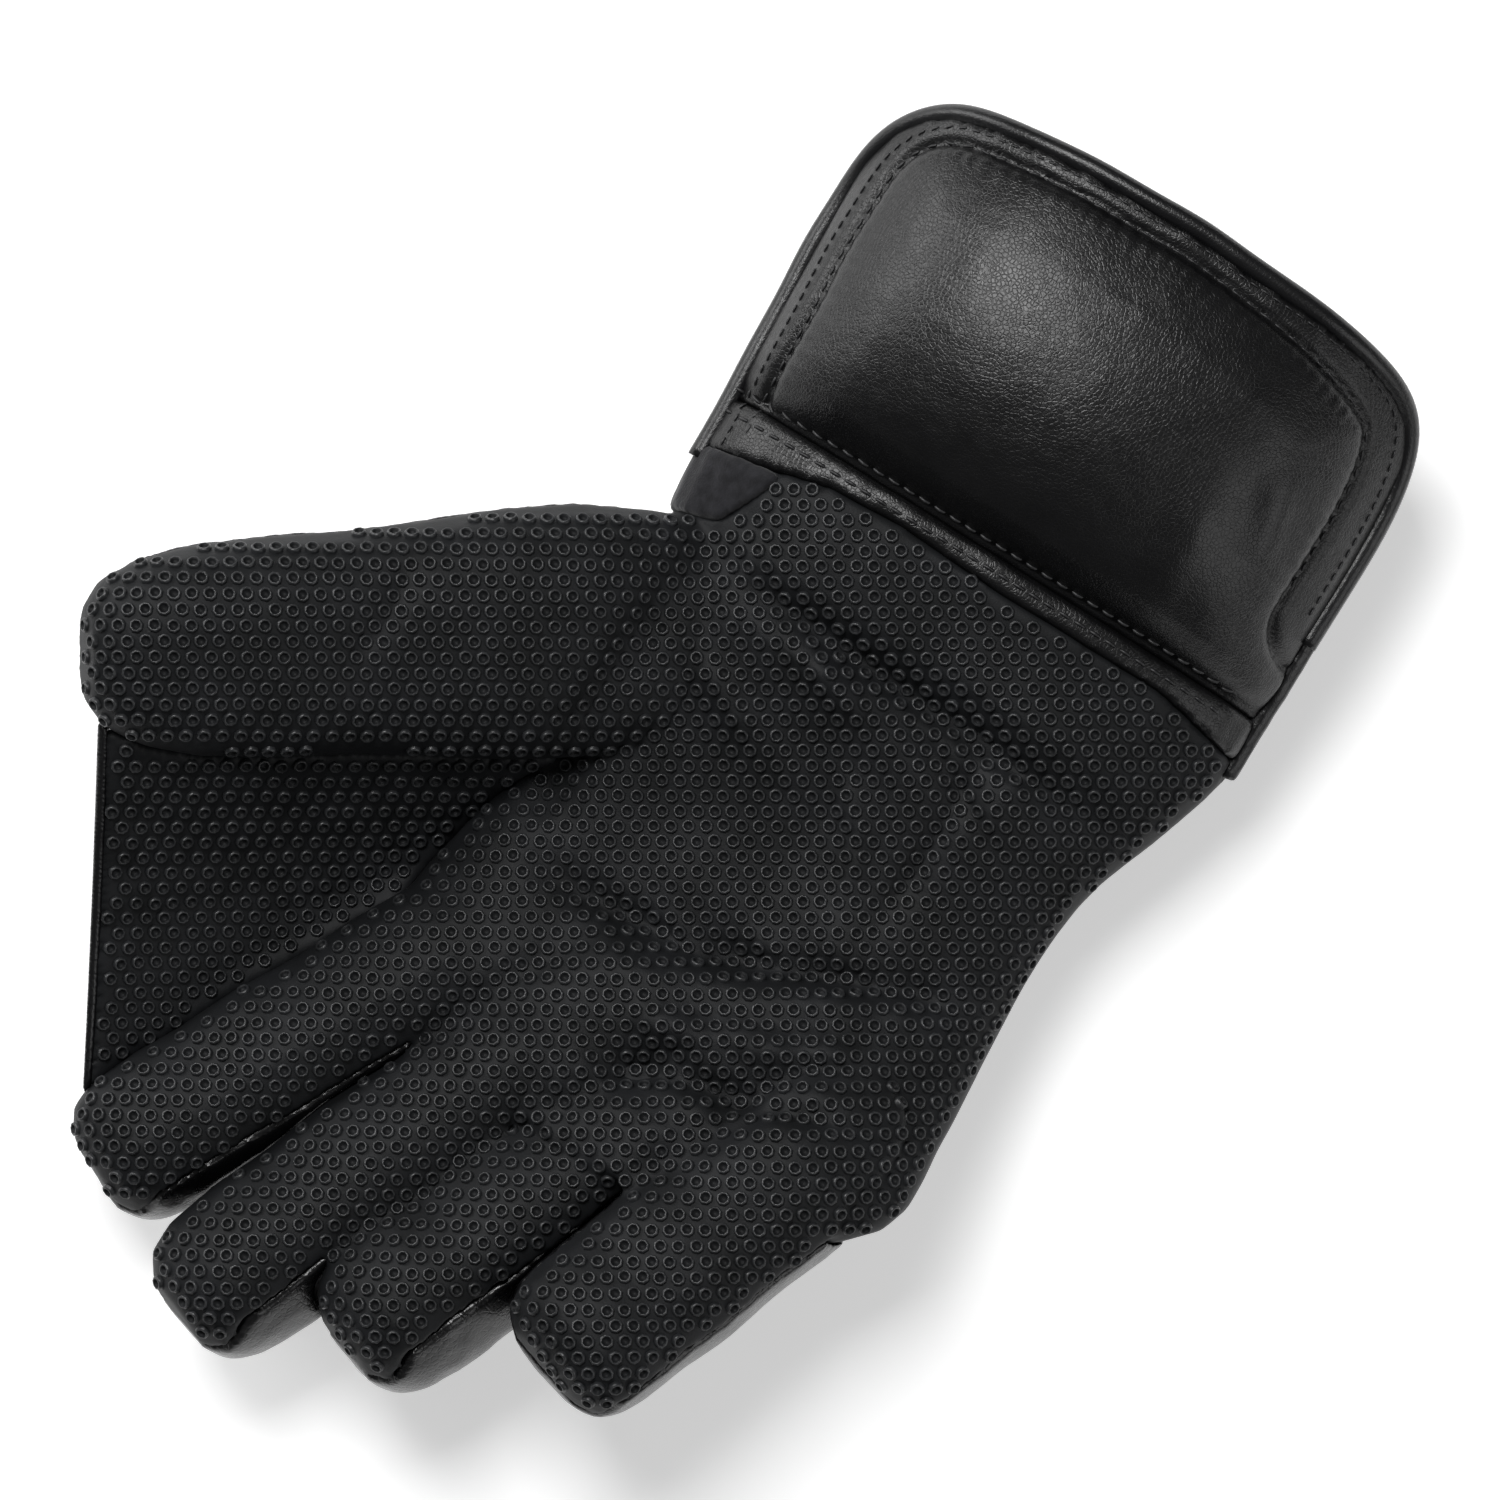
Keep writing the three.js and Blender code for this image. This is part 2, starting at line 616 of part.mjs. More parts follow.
const body = bodyForm(0, FINE_STEP, BODY_SIDES, true, BODY_START, BODY_END);
const bodyRoom = bodyForm(CLEARANCE, FINE_STEP, BODY_SIDES, true, BODY_START, BODY_END);
const hollowEnd = BODY_END + 2 * CUFF_WALL;
const bodyHollow = bodyForm(wallAt, COARSE_STEP, 2 * HOLLOW_SIDES, false, BODY_START, hollowEnd);
const hollow = joined([bodyHollow, ...names.map((name) => pressed(name, -STALL_WALL))]);

const bodyFront = halfSpaceAbove(SPLIT_HEIGHT);
const rubberForm = joined([
  body.intersect(bodyFront),
  ...names.map((name) => pressed(name, 0).intersect(stallFront(stalls[name].frames, 0))),
]);
const rubberRoom = joined([
  bodyRoom.intersect(halfSpaceAbove(SPLIT_HEIGHT - CLEARANCE)),
  ...names.map((name) => pressed(name, CLEARANCE).intersect(stallFront(stalls[name].frames, CLEARANCE))),
]);

// The piping runs round the front panel's free edge.
const CUFF_EDGE = CUFF_LENGTH - PIPING_RADIUS;
const outline = cuffOutline(CUFF_EDGE, -SEAM_SETBACK, -SEAM_SETBACK);
const pipingCurve = pipingPath(cuffOutline(CUFF_EDGE, 0, SIDE_ROLL_TOP));
const piping = tube(pipingCurve, PIPING_RADIUS, ROLL_SIDES, PIPING_STEPS);
const pipingRoom = tube(pipingCurve, PIPING_RADIUS + CLEARANCE, ROLL_SIDES, PIPING_STEPS);

// The side roll closes the cuff's little finger side between the piping's end and the wrist.
const rollEnds = pipingPath(cuffOutline(CUFF_EDGE, 0, 0)).slice(-1);
const rollCurve = [
  pipingCurve[pipingCurve.length - 1].clone().add(new THREE.Vector3(0, -CLEARANCE, 0)),
  rollEnds[0],
];
const sideRoll = tube(rollCurve, SIDE_ROLL_RADIUS, ROLL_SIDES, 4);
const sideRollRoom = tube(rollCurve, SIDE_ROLL_RADIUS + CLEARANCE, ROLL_SIDES, 4);
const seamLine = [
  new THREE.Vector2(-REACH, SEAM_SETBACK),
  new THREE.Vector2(REACH, SEAM_SETBACK),
  new THREE.Vector2(REACH, REACH),
  new THREE.Vector2(-REACH, REACH),
];
const pastSeam = planBlock(seamLine, -REACH, REACH);
const panelBlock = planBlock(outline, SPLIT_HEIGHT, REACH);
const rolls = pipingRoom.add(sideRollRoom);

// The rubber sheet, and the suede gusset set into its wrist corner.
const palmRubber = rubberForm
  .intersect(handSide(0))
  .subtract(gussetBlock(CLEARANCE))
  .subtract(rolls)
  .subtract(hollow);
const gusset = joined([body, stallForm(stalls.thumb.frames, 0, stalls.thumb.sides)])
  .intersect(gussetBlock(0))
  .subtract(rolls)
  .subtract(hollow);

// The leather backs of the hand and of the stalls.
const backSide = handSide(-CLEARANCE).subtract(gussetBlock(CLEARANCE));
const backForm = body.subtract(rubberRoom).subtract(rolls).subtract(hollow);
const handBack = backForm.intersect(backSide).intersect(floor);
const stallBacks = names.map((name) =>
  pressed(name, 0).subtract(rubberRoom).subtract(bodyRoom).subtract(gussetBlock(CLEARANCE)).subtract(hollow),
);

// The cuff: the padded front panel, the strip below its seam, its back and its piping.
const cuffShell = body.intersect(bodyFront).subtract(hollow).subtract(rolls);
const cuffPalm = cuffShell.intersect(panelBlock).intersect(pastSeam);
const stripBlock = handSide(CLEARANCE);
const wristStrip = cuffShell
  .intersect(panelBlock)
  .subtract(pastSeam.translate([0, -CLEARANCE, 0]))
  .subtract(stripBlock)
  .subtract(gussetBlock(CLEARANCE));
const backOutline = cuffOutline(CUFF_EDGE - CUFF_CROWN, -SEAM_SETBACK, -SEAM_SETBACK);
const cuffBack = body
  .intersect(planBlock(backOutline, -REACH, SPLIT_HEIGHT - CLEARANCE))
  .subtract(handSide(0))
  .intersect(floor)
  .subtract(hollow)
  .subtract(rolls);

// The web hangs between the lower edge of the thumb and the index finger's edge.
function stallEdge(name, share, toward, inward) {
  const frames = stalls[name].frames;
  const i = THREE.MathUtils.clamp(frames.findIndex((frame) => frame.share >= share), 1, frames.length - 1);
  const a = frames[i - 1];
  const b = frames[i];
  const t = THREE.MathUtils.clamp((share - a.share) / (b.share - a.share), 0, 1);
  const edge = (frame) =>
    frame.centre.clone().addScaledVector(frame.plain, toward * (frame.halfWidth - inward));
  return edge(a).lerp(edge(b), t);
}
function webPoint(u, v) {
  const thumbShare = THREE.MathUtils.lerp(WEB_THUMB_FROM, WEB_THUMB_TO, u);
  const indexShare = THREE.MathUtils.lerp(WEB_INDEX_FROM, WEB_INDEX_TO, u);
  const point = stallEdge('thumb', thumbShare, 1, WEB_OVERLAP);
  point.lerp(stallEdge('index', indexShare, -1, WEB_OVERLAP), v);
  point.z -= WEB_POCKET * Math.sin(Math.PI * v) * Math.sin(Math.PI * Math.min(0.25 + 0.6 * u, 1));
  return point;
}
const WEB_STEPS_ALONG = 9;
const WEB_STEPS_ACROSS = 8;
function webForm() {
  const rings = [];
  for (let i = 0; i <= WEB_STEPS_ALONG; i += 1) {
    const top = [];
    for (let j = 0; j <= WEB_STEPS_ACROSS; j += 1) {
      top.push(webPoint(i / WEB_STEPS_ALONG, j / WEB_STEPS_ACROSS));
    }
    const half = new THREE.Vector3(0, 0, WEB_THICKNESS / 2);
    const low = top.map((point) => point.clone().sub(half)).reverse();
    rings.push([...top.map((point) => point.clone().add(half)), ...low]);
  }
  return loft(rings);
}
const stallRoom = (name) => stallForm(stalls[name].frames, CLEARANCE, stalls[name].sides);
const besideWeb = joined([bodyRoom, stallRoom('thumb'), stallRoom('index')]);
const web = webForm().subtract(besideWeb);

// The binding is a flat strip just past the web's free edge, a lip taller than the web.
function bindingForm() {
  const rings = [];
  for (let j = 0; j <= WEB_STEPS_ACROSS; j += 1) {
    const v = j / WEB_STEPS_ACROSS;
    const edge = webPoint(1, v);
    const inner = webPoint(0.9, v);
    const out = edge.clone().sub(inner).setZ(0).normalize();
    const near = edge.clone().addScaledVector(out, CLEARANCE);
    const far = near.clone().addScaledVector(out, BINDING_WIDTH);
    const rise = new THREE.Vector3(0, 0, WEB_THICKNESS / 2 + BINDING_LIP);
    const low = [near.clone().sub(rise), far.clone().sub(rise)];
    rings.push([...low, far.clone().add(rise), near.clone().add(rise)]);
  }
  return loft(rings);
}
const binding = bindingForm().subtract(besideWeb);

// Colours of the finishes, as they look in soft light.
const RUBBER = { color: 0x3a3b3e, roughness: 0.62, metalness: 0 };
const LEATHER = { color: 0x17171a, roughness: 0.42, metalness: 0 };
const SUEDE = { color: 0x333338, roughness: 0.95, metalness: 0 };
const TRIM = { color: 0x1d1d20, roughness: 0.5, metalness: 0 };

const group = new THREE.Group();
function addPiece(name, solid, finish) {
  const mesh = new THREE.Mesh(toGeometry(mainBody(solid)), new THREE.MeshStandardMaterial(finish));
  mesh.name = name;
  group.add(mesh);
}

addPiece('palm_rubber', palmRubber, RUBBER);
addPiece('hand_back', handBack, LEATHER);
names.forEach((name, i) => addPiece(`${name}_back`, stallBacks[i], LEATHER));
addPiece('web', web, RUBBER);
addPiece('web_binding', binding, TRIM);
addPiece('wrist_gusset', gusset, SUEDE);
addPiece('wrist_strip', wristStrip, LEATHER);
addPiece('cuff_palm', cuffPalm, LEATHER);
addPiece('cuff_back', cuffBack, LEATHER);
addPiece('cuff_piping', piping, LEATHER);
addPiece('side_roll', sideRoll, LEATHER);

// The origin is the middle of the glove's outline, on the floor.
const box = new THREE.Box3().setFromObject(group);
const middle = box.getCenter(new THREE.Vector3());
group.position.set(-middle.x, -middle.y, -box.min.z);

export default group;
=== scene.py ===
# %% [markdown]
# # A wicketkeeping glove
# The glove lies on its back with the palm up. Its real parts are sewn leather shells, a moulded
# rubber palm with rows of small rings, a web, a padded cuff and two leather rolls.
# The frame is the measured solid model. Every visible skin below is grown from one of its solids,
# so that each piece keeps its true place and size.

import json
import math

import bmesh
import bpy
import numpy as np
from mathutils import Matrix, Vector
from mathutils.bvhtree import BVHTree
from mathutils.noise import noise

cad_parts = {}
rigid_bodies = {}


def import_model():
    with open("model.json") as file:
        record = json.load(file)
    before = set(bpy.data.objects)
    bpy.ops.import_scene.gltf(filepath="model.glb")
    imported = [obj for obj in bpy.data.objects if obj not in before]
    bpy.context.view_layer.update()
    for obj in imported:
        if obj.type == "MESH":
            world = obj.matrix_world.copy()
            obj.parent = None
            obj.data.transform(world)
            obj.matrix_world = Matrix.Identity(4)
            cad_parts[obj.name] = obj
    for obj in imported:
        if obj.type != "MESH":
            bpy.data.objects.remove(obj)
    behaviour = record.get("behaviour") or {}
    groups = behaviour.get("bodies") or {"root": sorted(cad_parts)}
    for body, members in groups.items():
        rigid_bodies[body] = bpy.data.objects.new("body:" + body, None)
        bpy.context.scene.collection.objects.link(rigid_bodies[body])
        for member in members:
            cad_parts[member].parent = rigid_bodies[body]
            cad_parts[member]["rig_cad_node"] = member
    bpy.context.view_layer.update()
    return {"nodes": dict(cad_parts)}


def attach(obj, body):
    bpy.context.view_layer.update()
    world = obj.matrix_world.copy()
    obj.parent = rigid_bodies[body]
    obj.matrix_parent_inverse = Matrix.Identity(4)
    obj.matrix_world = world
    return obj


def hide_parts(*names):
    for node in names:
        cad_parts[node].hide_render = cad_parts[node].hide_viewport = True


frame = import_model()
MM = 0.001
print("frame nodes:", len(frame["nodes"]))

# %% [markdown]
# ## Places and directions
# Sizes are written in millimetres, in the glove's own coordinates, whose middle is the middle of
# the wrist. The picture's level line is turned 32 degrees from the glove's width, and the rows of
# rings follow it. One function turns the glove's own coordinates into the frame's metres, and
# another turns a place in the picture into a point at a known height, so that a fold can be read
# off the picture and still lie on the surface.

# %% Places
SHIFT = Vector((38.59, 56.29, 0.0))
LEVEL = Vector((0.848, 0.53, 0.0))
RISE = Vector((-0.53, 0.848, 0.0))
VIEW_MIDDLE = Vector((-19.1, -44.2, 0.0))
VIEW_HEIGHT = 1300.0
FOCAL = 6551.0
PICTURE = 1500.0


def place(x, y, z=0.0):
    """A point of the glove's own coordinates, as metres in the frame."""
    return (Vector((x, y, z)) + SHIFT) * MM


def seen(px, py, z):
    """The frame's point at height z, in millimetres, that shows at a place of the picture."""
    scale = (VIEW_HEIGHT - z) / FOCAL
    across = (px - PICTURE / 2) * scale
    down = (py - PICTURE / 2) * scale
    flat = VIEW_MIDDLE + LEVEL * across - RISE * down
    return (Vector((flat.x, flat.y, z)) + SHIFT) * MM


print("the cuff's mouth is near", [round(c, 3) for c in place(0.0, 86.0)])

# %% [markdown]
# ## Materials
# Every finish here is procedural: a few noise or cell patterns, each at the real pattern's size,
# because such a pattern stays sharp at any distance and needs no picture. One helper adds a node.
# Two more build what all of the finishes share: a colour that drifts over patches, and a relief of
# stacked bumps.

# %% Helpers for materials
CELL_BORDER = 0.18


def linear(hex_colour):
    """An sRGB hex colour as the linear values that a shader takes."""
    values = [int(hex_colour[i : i + 2], 16) / 255 for i in (0, 2, 4)]
    curve = [v / 12.92 if v <= 0.04045 else ((v + 0.055) / 1.055) ** 2.4 for v in values]
    return (*curve, 1.0)


def add(tree, kind, inputs=None, **settings):
    """Adds a node, sets its properties and inputs, and links an input that is given a socket."""
    node = tree.nodes.new(kind)
    for key, value in settings.items():
        setattr(node, key, value)
    for key, value in (inputs or {}).items():
        socket = node.inputs[key]
        if isinstance(value, bpy.types.NodeSocket):
            tree.links.new(value, socket)
        else:
            socket.default_value = value
    return node


def new_material(name, **constants):
    """A material with only a Principled shader, its node tree, and the shader's constants set."""
    material = bpy.data.materials.new(name)
    material.use_nodes = True
    tree = material.node_tree
    shader = tree.nodes["Principled BSDF"]
    for key, value in constants.items():
        shader.inputs[key.replace("_", " ")].default_value = value
    return material, tree, shader


def drifting_colour(tree, low, high, size_mm, detail=4.0):
    """A colour that drifts between two hex colours over patches of the given size."""
    coords = add(tree, "ShaderNodeTexCoord").outputs["Object"]
    inputs = {"Vector": coords, "Scale": 1000.0 / size_mm, "Detail": detail}
    patches = add(tree, "ShaderNodeTexNoise", inputs)
    ramp = add(tree, "ShaderNodeValToRGB", {"Fac": patches.outputs["Fac"]})
    for end, position, colour in zip(ramp.color_ramp.elements, (0.3, 0.7), (low, high)):
        end.position = position
        end.color = linear(colour)
    return ramp.outputs["Color"]


def relief(tree, layers):
    """Stacked bumps. Each layer is a pattern, its size, its detail and its depth in millimetres."""
    coords = add(tree, "ShaderNodeTexCoord").outputs["Object"]
    normal = None
    for pattern, size_mm, detail, depth_mm in layers:
        inputs = {"Vector": coords, "Scale": 1000.0 / size_mm}
        if pattern == "cells":
            cells = add(tree, "ShaderNodeTexVoronoi", inputs, feature="DISTANCE_TO_EDGE")
            tops = {"Value": cells.outputs["Distance"], "From Min": 0.0, "From Max": CELL_BORDER}
            height = add(tree, "ShaderNodeMapRange", tops).outputs["Result"]
        else:
            inputs["Detail"] = detail
            height = add(tree, "ShaderNodeTexNoise", inputs).outputs["Fac"]
        bump = {"Height": height, "Strength": 1.0, "Distance": depth_mm * MM}
        if normal is not None:
            bump["Normal"] = normal
        normal = add(tree, "ShaderNodeBump", bump).outputs["Normal"]
    return normal


print("material helpers ready")

# %% [markdown]
# ## Moulded rubber
# The palm is black rubber, pressed in a mould. It gives the eye an almost matt charcoal, faintly
# mottled where the sheet has worn. The rings are the same rubber, but get a second, glossier
# copy whose lighter colour is a painted highlight on their crests.

# %% Rubber
def rubber_material(name, low, high, roughness, gloss):
    """Moulded rubber: matt, finely mottled and a little uneven."""
    material, tree, shader = new_material(name, Roughness=roughness, Specular_IOR_Level=gloss)
    tree.links.new(drifting_colour(tree, low, high, 9.0), shader.inputs["Base Color"])
    layers = [("noise", 3.0, 2.0, 0.10), ("noise", 0.35, 2.0, 0.05)]
    tree.links.new(relief(tree, layers), shader.inputs["Normal"])
    return material


RUBBER = rubber_material("moulded_rubber", "121314", "1a1b1d", 0.58, 0.18)
# The rings' lighter colour is a painted highlight on their crests; their lower roughness is real
# gloss.
RING_RUBBER_PAINTED_HIGHLIGHT = rubber_material("moulded_rubber_rings", "1d1e1f", "292a2c", 0.38, 0.45)
print("rubber:", RUBBER.name, RING_RUBBER_PAINTED_HIGHLIGHT.name)

# %% [markdown]
# ## Glazed leather
# The cuff, the backs and the rolls are dyed leather with a clear glaze. It gives the eye a soft,
# broad highlight that breaks up over small raised cells and slow creases. The cells are a Voronoi
# pattern at the grain's real size, about a millimetre, and the glaze is the shader's own coat.

# %% Leather
def leather_material(name, low, high, roughness, cell_mm, depth_mm, coat):
    """Glazed leather: small grain cells, soft creases and a thin clear glaze."""
    glaze = {"Specular_IOR_Level": 0.38, "Coat_Weight": coat, "Coat_Roughness": 0.3}
    material, tree, shader = new_material(name, **glaze)
    tree.links.new(drifting_colour(tree, low, high, 14.0), shader.inputs["Base Color"])
    coords = add(tree, "ShaderNodeTexCoord").outputs["Object"]
    inputs = {"Vector": coords, "Scale": 1000.0 / 6.0, "Detail": 3.0}
    patches = add(tree, "ShaderNodeTexNoise", inputs).outputs["Fac"]
    wear = {"Value": patches, "To Min": roughness - 0.06, "To Max": roughness + 0.08}
    worn = add(tree, "ShaderNodeMapRange", wear).outputs["Result"]
    tree.links.new(worn, shader.inputs["Roughness"])
    layers = [("noise", 5.0, 4.0, 0.25), ("cells", cell_mm, None, depth_mm)]
    tree.links.new(relief(tree, layers), shader.inputs["Normal"])
    return material


CUFF_LEATHER = leather_material("grained_leather", "060607", "0a0a0b", 0.34, 0.8, 0.03, 0.05)
BACK_LEATHER = leather_material("glazed_leather", "060607", "0a0a0b", 0.26, 1.3, 0.03, 0.2)
ROLL_LEATHER = leather_material("rolled_leather", "08080a", "0f0f10", 0.32, 0.8, 0.02, 0.1)
print("leather:", CUFF_LEATHER.name, BACK_LEATHER.name, ROLL_LEATHER.name)

# %% [markdown]
# ## Suede and thread
# The gusset is suede: leather with its fibres brushed up. It gives the eye a flat dark grey that
# lightens a little where it turns away, which is the shader's sheen. The seams are sewn with waxed
# black thread, which is a little paler than the leather and softly glossy.

# %% Suede and thread
def suede_material():
    """Brushed suede: matt, with a nap that lightens the colour at a low angle."""
    nap = {"Roughness": 0.95, "Specular_IOR_Level": 0.15}
    nap.update({"Sheen_Weight": 0.15, "Sheen_Roughness": 0.5})
    material, tree, shader = new_material("napped_suede", **nap)
    colour = drifting_colour(tree, "18181a", "28282b", 2.2, 6.0)
    tree.links.new(colour, shader.inputs["Base Color"])
    tree.links.new(relief(tree, [("noise", 0.5, 3.0, 0.12)]), shader.inputs["Normal"])
    return material


def thread_material():
    """Waxed thread: a dark twisted strand with a soft gloss."""
    material, tree, shader = new_material("waxed_thread", Roughness=0.5)
    tree.links.new(drifting_colour(tree, "0f0f10", "1c1c1e", 1.0), shader.inputs["Base Color"])
    return material


SUEDE = suede_material()
THREAD = thread_material()
print("other:", SUEDE.name, THREAD.name)

# %% [markdown]
# ## Soft skins from the solids
# A sewn leather or rubber wall has rounded edges everywhere, while the measured solid has flat
# faces. A voxel remesh turns a solid's copy into an even skin, smoothing rounds it as stuffing
# does, and the smoothed skin is then pushed by folds. Sculpting by hand could do this too, but a
# rule gives the same result each time.

# %% A skin from a solid
SMOOTHING = 0.5
LEAST_WEIGHT = 0.01


def shown(name, mesh):
    """A new object in the scene, with its place in its mesh."""
    obj = bpy.data.objects.new(name, mesh)
    bpy.context.scene.collection.objects.link(obj)
    return obj


def applied(obj):
    """Makes an object's modifiers part of its mesh."""
    graph = bpy.context.evaluated_depsgraph_get()
    mesh = bpy.data.meshes.new_from_object(obj.evaluated_get(graph))
    obj.modifiers.clear()
    old = obj.data
    obj.data = mesh
    mesh.name = old.name
    bpy.data.meshes.remove(old)
    return obj


def skin_of(node, voxel_mm, rounds, swell_mm=0.0):
    """A smooth, evenly meshed copy of a solid, with rounded edges, as a new object."""
    mesh = frame["nodes"][node].data.copy()
    mesh.materials.clear()
    mesh.name = node + "_skin"
    work = bmesh.new()
    work.from_mesh(mesh)
    bmesh.ops.remove_doubles(work, verts=work.verts, dist=1e-6)
    work.to_mesh(mesh)
    work.free()
    obj = shown(mesh.name, mesh)
    remesh = obj.modifiers.new("remesh", "REMESH")
    remesh.mode = "VOXEL"
    remesh.voxel_size = voxel_mm * MM
    if swell_mm:
        swell = obj.modifiers.new("swell", "DISPLACE")
        swell.strength = swell_mm * MM
        swell.mid_level = 0.0
    smooth = obj.modifiers.new("smooth", "SMOOTH")
    smooth.factor = SMOOTHING
    smooth.iterations = rounds
    return applied(obj)


def surface_of(mesh):
    """A mesh's places, in the glove's own millimetres, and its normals."""
    places = np.empty(len(mesh.vertices) * 3)
    normals = np.empty(len(mesh.vertices) * 3)
    mesh.vertices.foreach_get("co", places)
    mesh.vertex_normals.foreach_get("vector", normals)
    return places.reshape(-1, 3) / MM - np.array(SHIFT), normals.reshape(-1, 3)


def pushed(obj, rule):
    """Moves each vertex along its normal by the millimetres that a rule gives, above the floor."""
    points, normals = surface_of(obj.data)
    points = points + normals * rule(points, normals)[:, None]
    points[:, 2] = np.maximum(points[:, 2], 0.0)
    obj.data.vertices.foreach_set("co", ((points + np.array(SHIFT)) * MM).ravel())
    obj.data.update()
    return obj


def relaxed(obj, rule, rounds):
    """Smooths a skin strongly where a rule's weight is high, so that flat faces melt together."""
    group = obj.vertex_groups.new(name="relax")
    for index, weight in enumerate(rule(*surface_of(obj.data))):
        if weight > LEAST_WEIGHT:
            group.add([index], float(weight), "REPLACE")
    smooth = obj.modifiers.new("relax", "SMOOTH")
    smooth.vertex_group = group.name
    smooth.factor = SMOOTHING
    smooth.iterations = rounds
    applied(obj)
    obj.vertex_groups.clear()
    return obj


def finished(obj, material, node_names):
    """Shades a piece smooth, gives it its finish and ties it to the frame."""
    mesh = obj.data
    mesh.materials.append(material)
    mesh.shade_smooth()
    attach(obj, "root")
    if node_names:
        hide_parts(*node_names)
    print(obj.name, sum(len(face.vertices) - 2 for face in mesh.polygons), "triangles")
    return obj


print("skin helpers ready")

# %% [markdown]
# ## Folds and puckers
# A fold is written as a line across the surface, a width and a depth. The push at a point falls off
# with its distance from the line, like the groove that a finger draws in sand. The distance is
# measured in plan, since the palm faces up. Slow unevenness comes from a smooth random height.

# %% Rules for folds
FOLD_FADE = 0.25


def to_line(points, line):
    """Each point's distance in plan to a line of corners, and its share along the line."""
    best = np.full(len(points), np.inf)
    share = np.zeros(len(points))
    steps = [np.array(p[:2]) for p in line]
    lengths = [np.linalg.norm(b - a) for a, b in zip(steps, steps[1:])]
    total = sum(lengths)
    start = 0.0
    for a, b, length in zip(steps, steps[1:], lengths):
        along = np.clip((points[:, :2] - a) @ (b - a) / length**2, 0.0, 1.0)
        near = a + along[:, None] * (b - a)
        gap = np.linalg.norm(points[:, :2] - near, axis=1)
        closer = gap < best
        best = np.where(closer, gap, best)
        share = np.where(closer, (start + along * length) / total, share)
        start += length
    return best, share


def on_picture(corners, z):
    """Corners of a line in the picture, in the glove's own millimetres at height z."""
    return [tuple(seen(px, py, z) / MM - SHIFT) for px, py in corners]


def folds_push(points, normals, rows):
    """The push of a table of folds: a negative depth is a groove, and both ends fade out."""
    push = np.zeros(len(points))
    up = np.clip(normals[:, 2], 0.0, 1.0)
    for row in rows:
        gap, share = to_line(points, on_picture(row["line"], row["z"]))
        ends = np.clip(np.minimum(share, 1.0 - share) / FOLD_FADE, 0.0, 1.0)
        across = np.exp(-((gap / row["width"]) ** 2))
        push += row["depth"] * across * (0.25 + 0.75 * ends) * up
    return push


def wavy(points, size_mm, seed):
    """A smooth random height from -1 to 1 at each point, over patches of the given size."""
    shift = Vector((seed * 7.3, seed * 3.1, seed * 5.7))
    return np.array([noise(Vector(p) / size_mm + shift) for p in points])


print("fold rules ready")

# %% [markdown]
# ## The rubber palm and the web
# One moulded sheet covers the palm, the fronts of the fingers and the thumb. It creases at the
# thumb's base, across the knuckles and between the fingers' roots. Each crease or ridge is a row
# of a table: its line in the picture, the surface's height there, its width and its depth.
# The web is thin rubber between the thumb and the first finger, swollen a little so that it meets
# both of them, as the sewn one does.

# %% Palm and web
PALM_FOLDS = [
    {
        "line": [(722, 515), (700, 560), (640, 650), (540, 790)],
        "z": 44,
        "width": 5.0,
        "depth": -3.2,
    },
    {"line": [(760, 590), (900, 690), (1100, 830)], "z": 44, "width": 2.2, "depth": -2.2},
    {
        "line": [(560, 880), (700, 950), (860, 980), (940, 1000)],
        "z": 44,
        "width": 2.6,
        "depth": -2.5,
    },
    {"line": [(600, 960), (760, 995), (930, 1020)], "z": 45, "width": 3.2, "depth": 1.7},
    {"line": [(600, 1010), (760, 1045), (900, 1060)], "z": 45, "width": 3.0, "depth": 1.6},
    {"line": [(600, 1055), (740, 1090), (870, 1125)], "z": 45, "width": 2.4, "depth": -2.5},
    {"line": [(980, 750), (935, 830), (880, 920)], "z": 44, "width": 2.2, "depth": -1.7},
    {"line": [(700, 660), (725, 700), (750, 740)], "z": 42, "width": 2.6, "depth": 1.4},
    {"line": [(810, 660), (835, 690), (860, 720)], "z": 42, "width": 2.6, "depth": 1.3},
    {"line": [(420, 560), (400, 610), (352, 668)], "z": 50, "width": 3.0, "depth": -1.2},
    {"line": [(425, 1035), (500, 985), (590, 930)], "z": 42, "width": 3.2, "depth": -1.6},
    {"line": [(520, 1122), (590, 1085), (690, 1040)], "z": 42, "width": 3.2, "depth": -2.0},
    {"line": [(622, 1184), (690, 1130), (790, 1090)], "z": 44, "width": 3.4, "depth": -2.2},
    {"line": [(900, 720), (960, 790), (985, 850)], "z": 43, "width": 2.4, "depth": -1.4},
    {"line": [(840, 770), (860, 830), (850, 900)], "z": 43, "width": 2.6, "depth": 1.2},
]


def palm_push(points, normals):
    """The palm's creases and the slow unevenness of a worn sheet."""
    uneven = 0.35 * wavy(points, 16.0, 1) * np.clip(normals[:, 2], 0.0, 1.0)
    return uneven + folds_push(points, normals, PALM_FOLDS)


def unevenness(height_mm, size_mm, seed):
    """A rule that only makes a skin slowly uneven."""
    return lambda points, normals: height_mm * wavy(points, size_mm, seed)


palm = pushed(skin_of("palm_rubber", 1.02, 8), palm_push)
finished(palm, RUBBER, ["palm_rubber"])
web = pushed(skin_of("web", 0.7, 2, swell_mm=0.9), unevenness(0.3, 9.0, 2))
finished(web, RUBBER, ["web"])

# %% [markdown]
# ## Leather shells
# The backs of the stalls and of the hand are thin glazed leather over padding. A gloss shows every
# flat face of a solid, so these skins are relaxed: smoothed many times, but only away from the line
# where they meet the rubber, which must stay shut. A vertex group carries that weight.

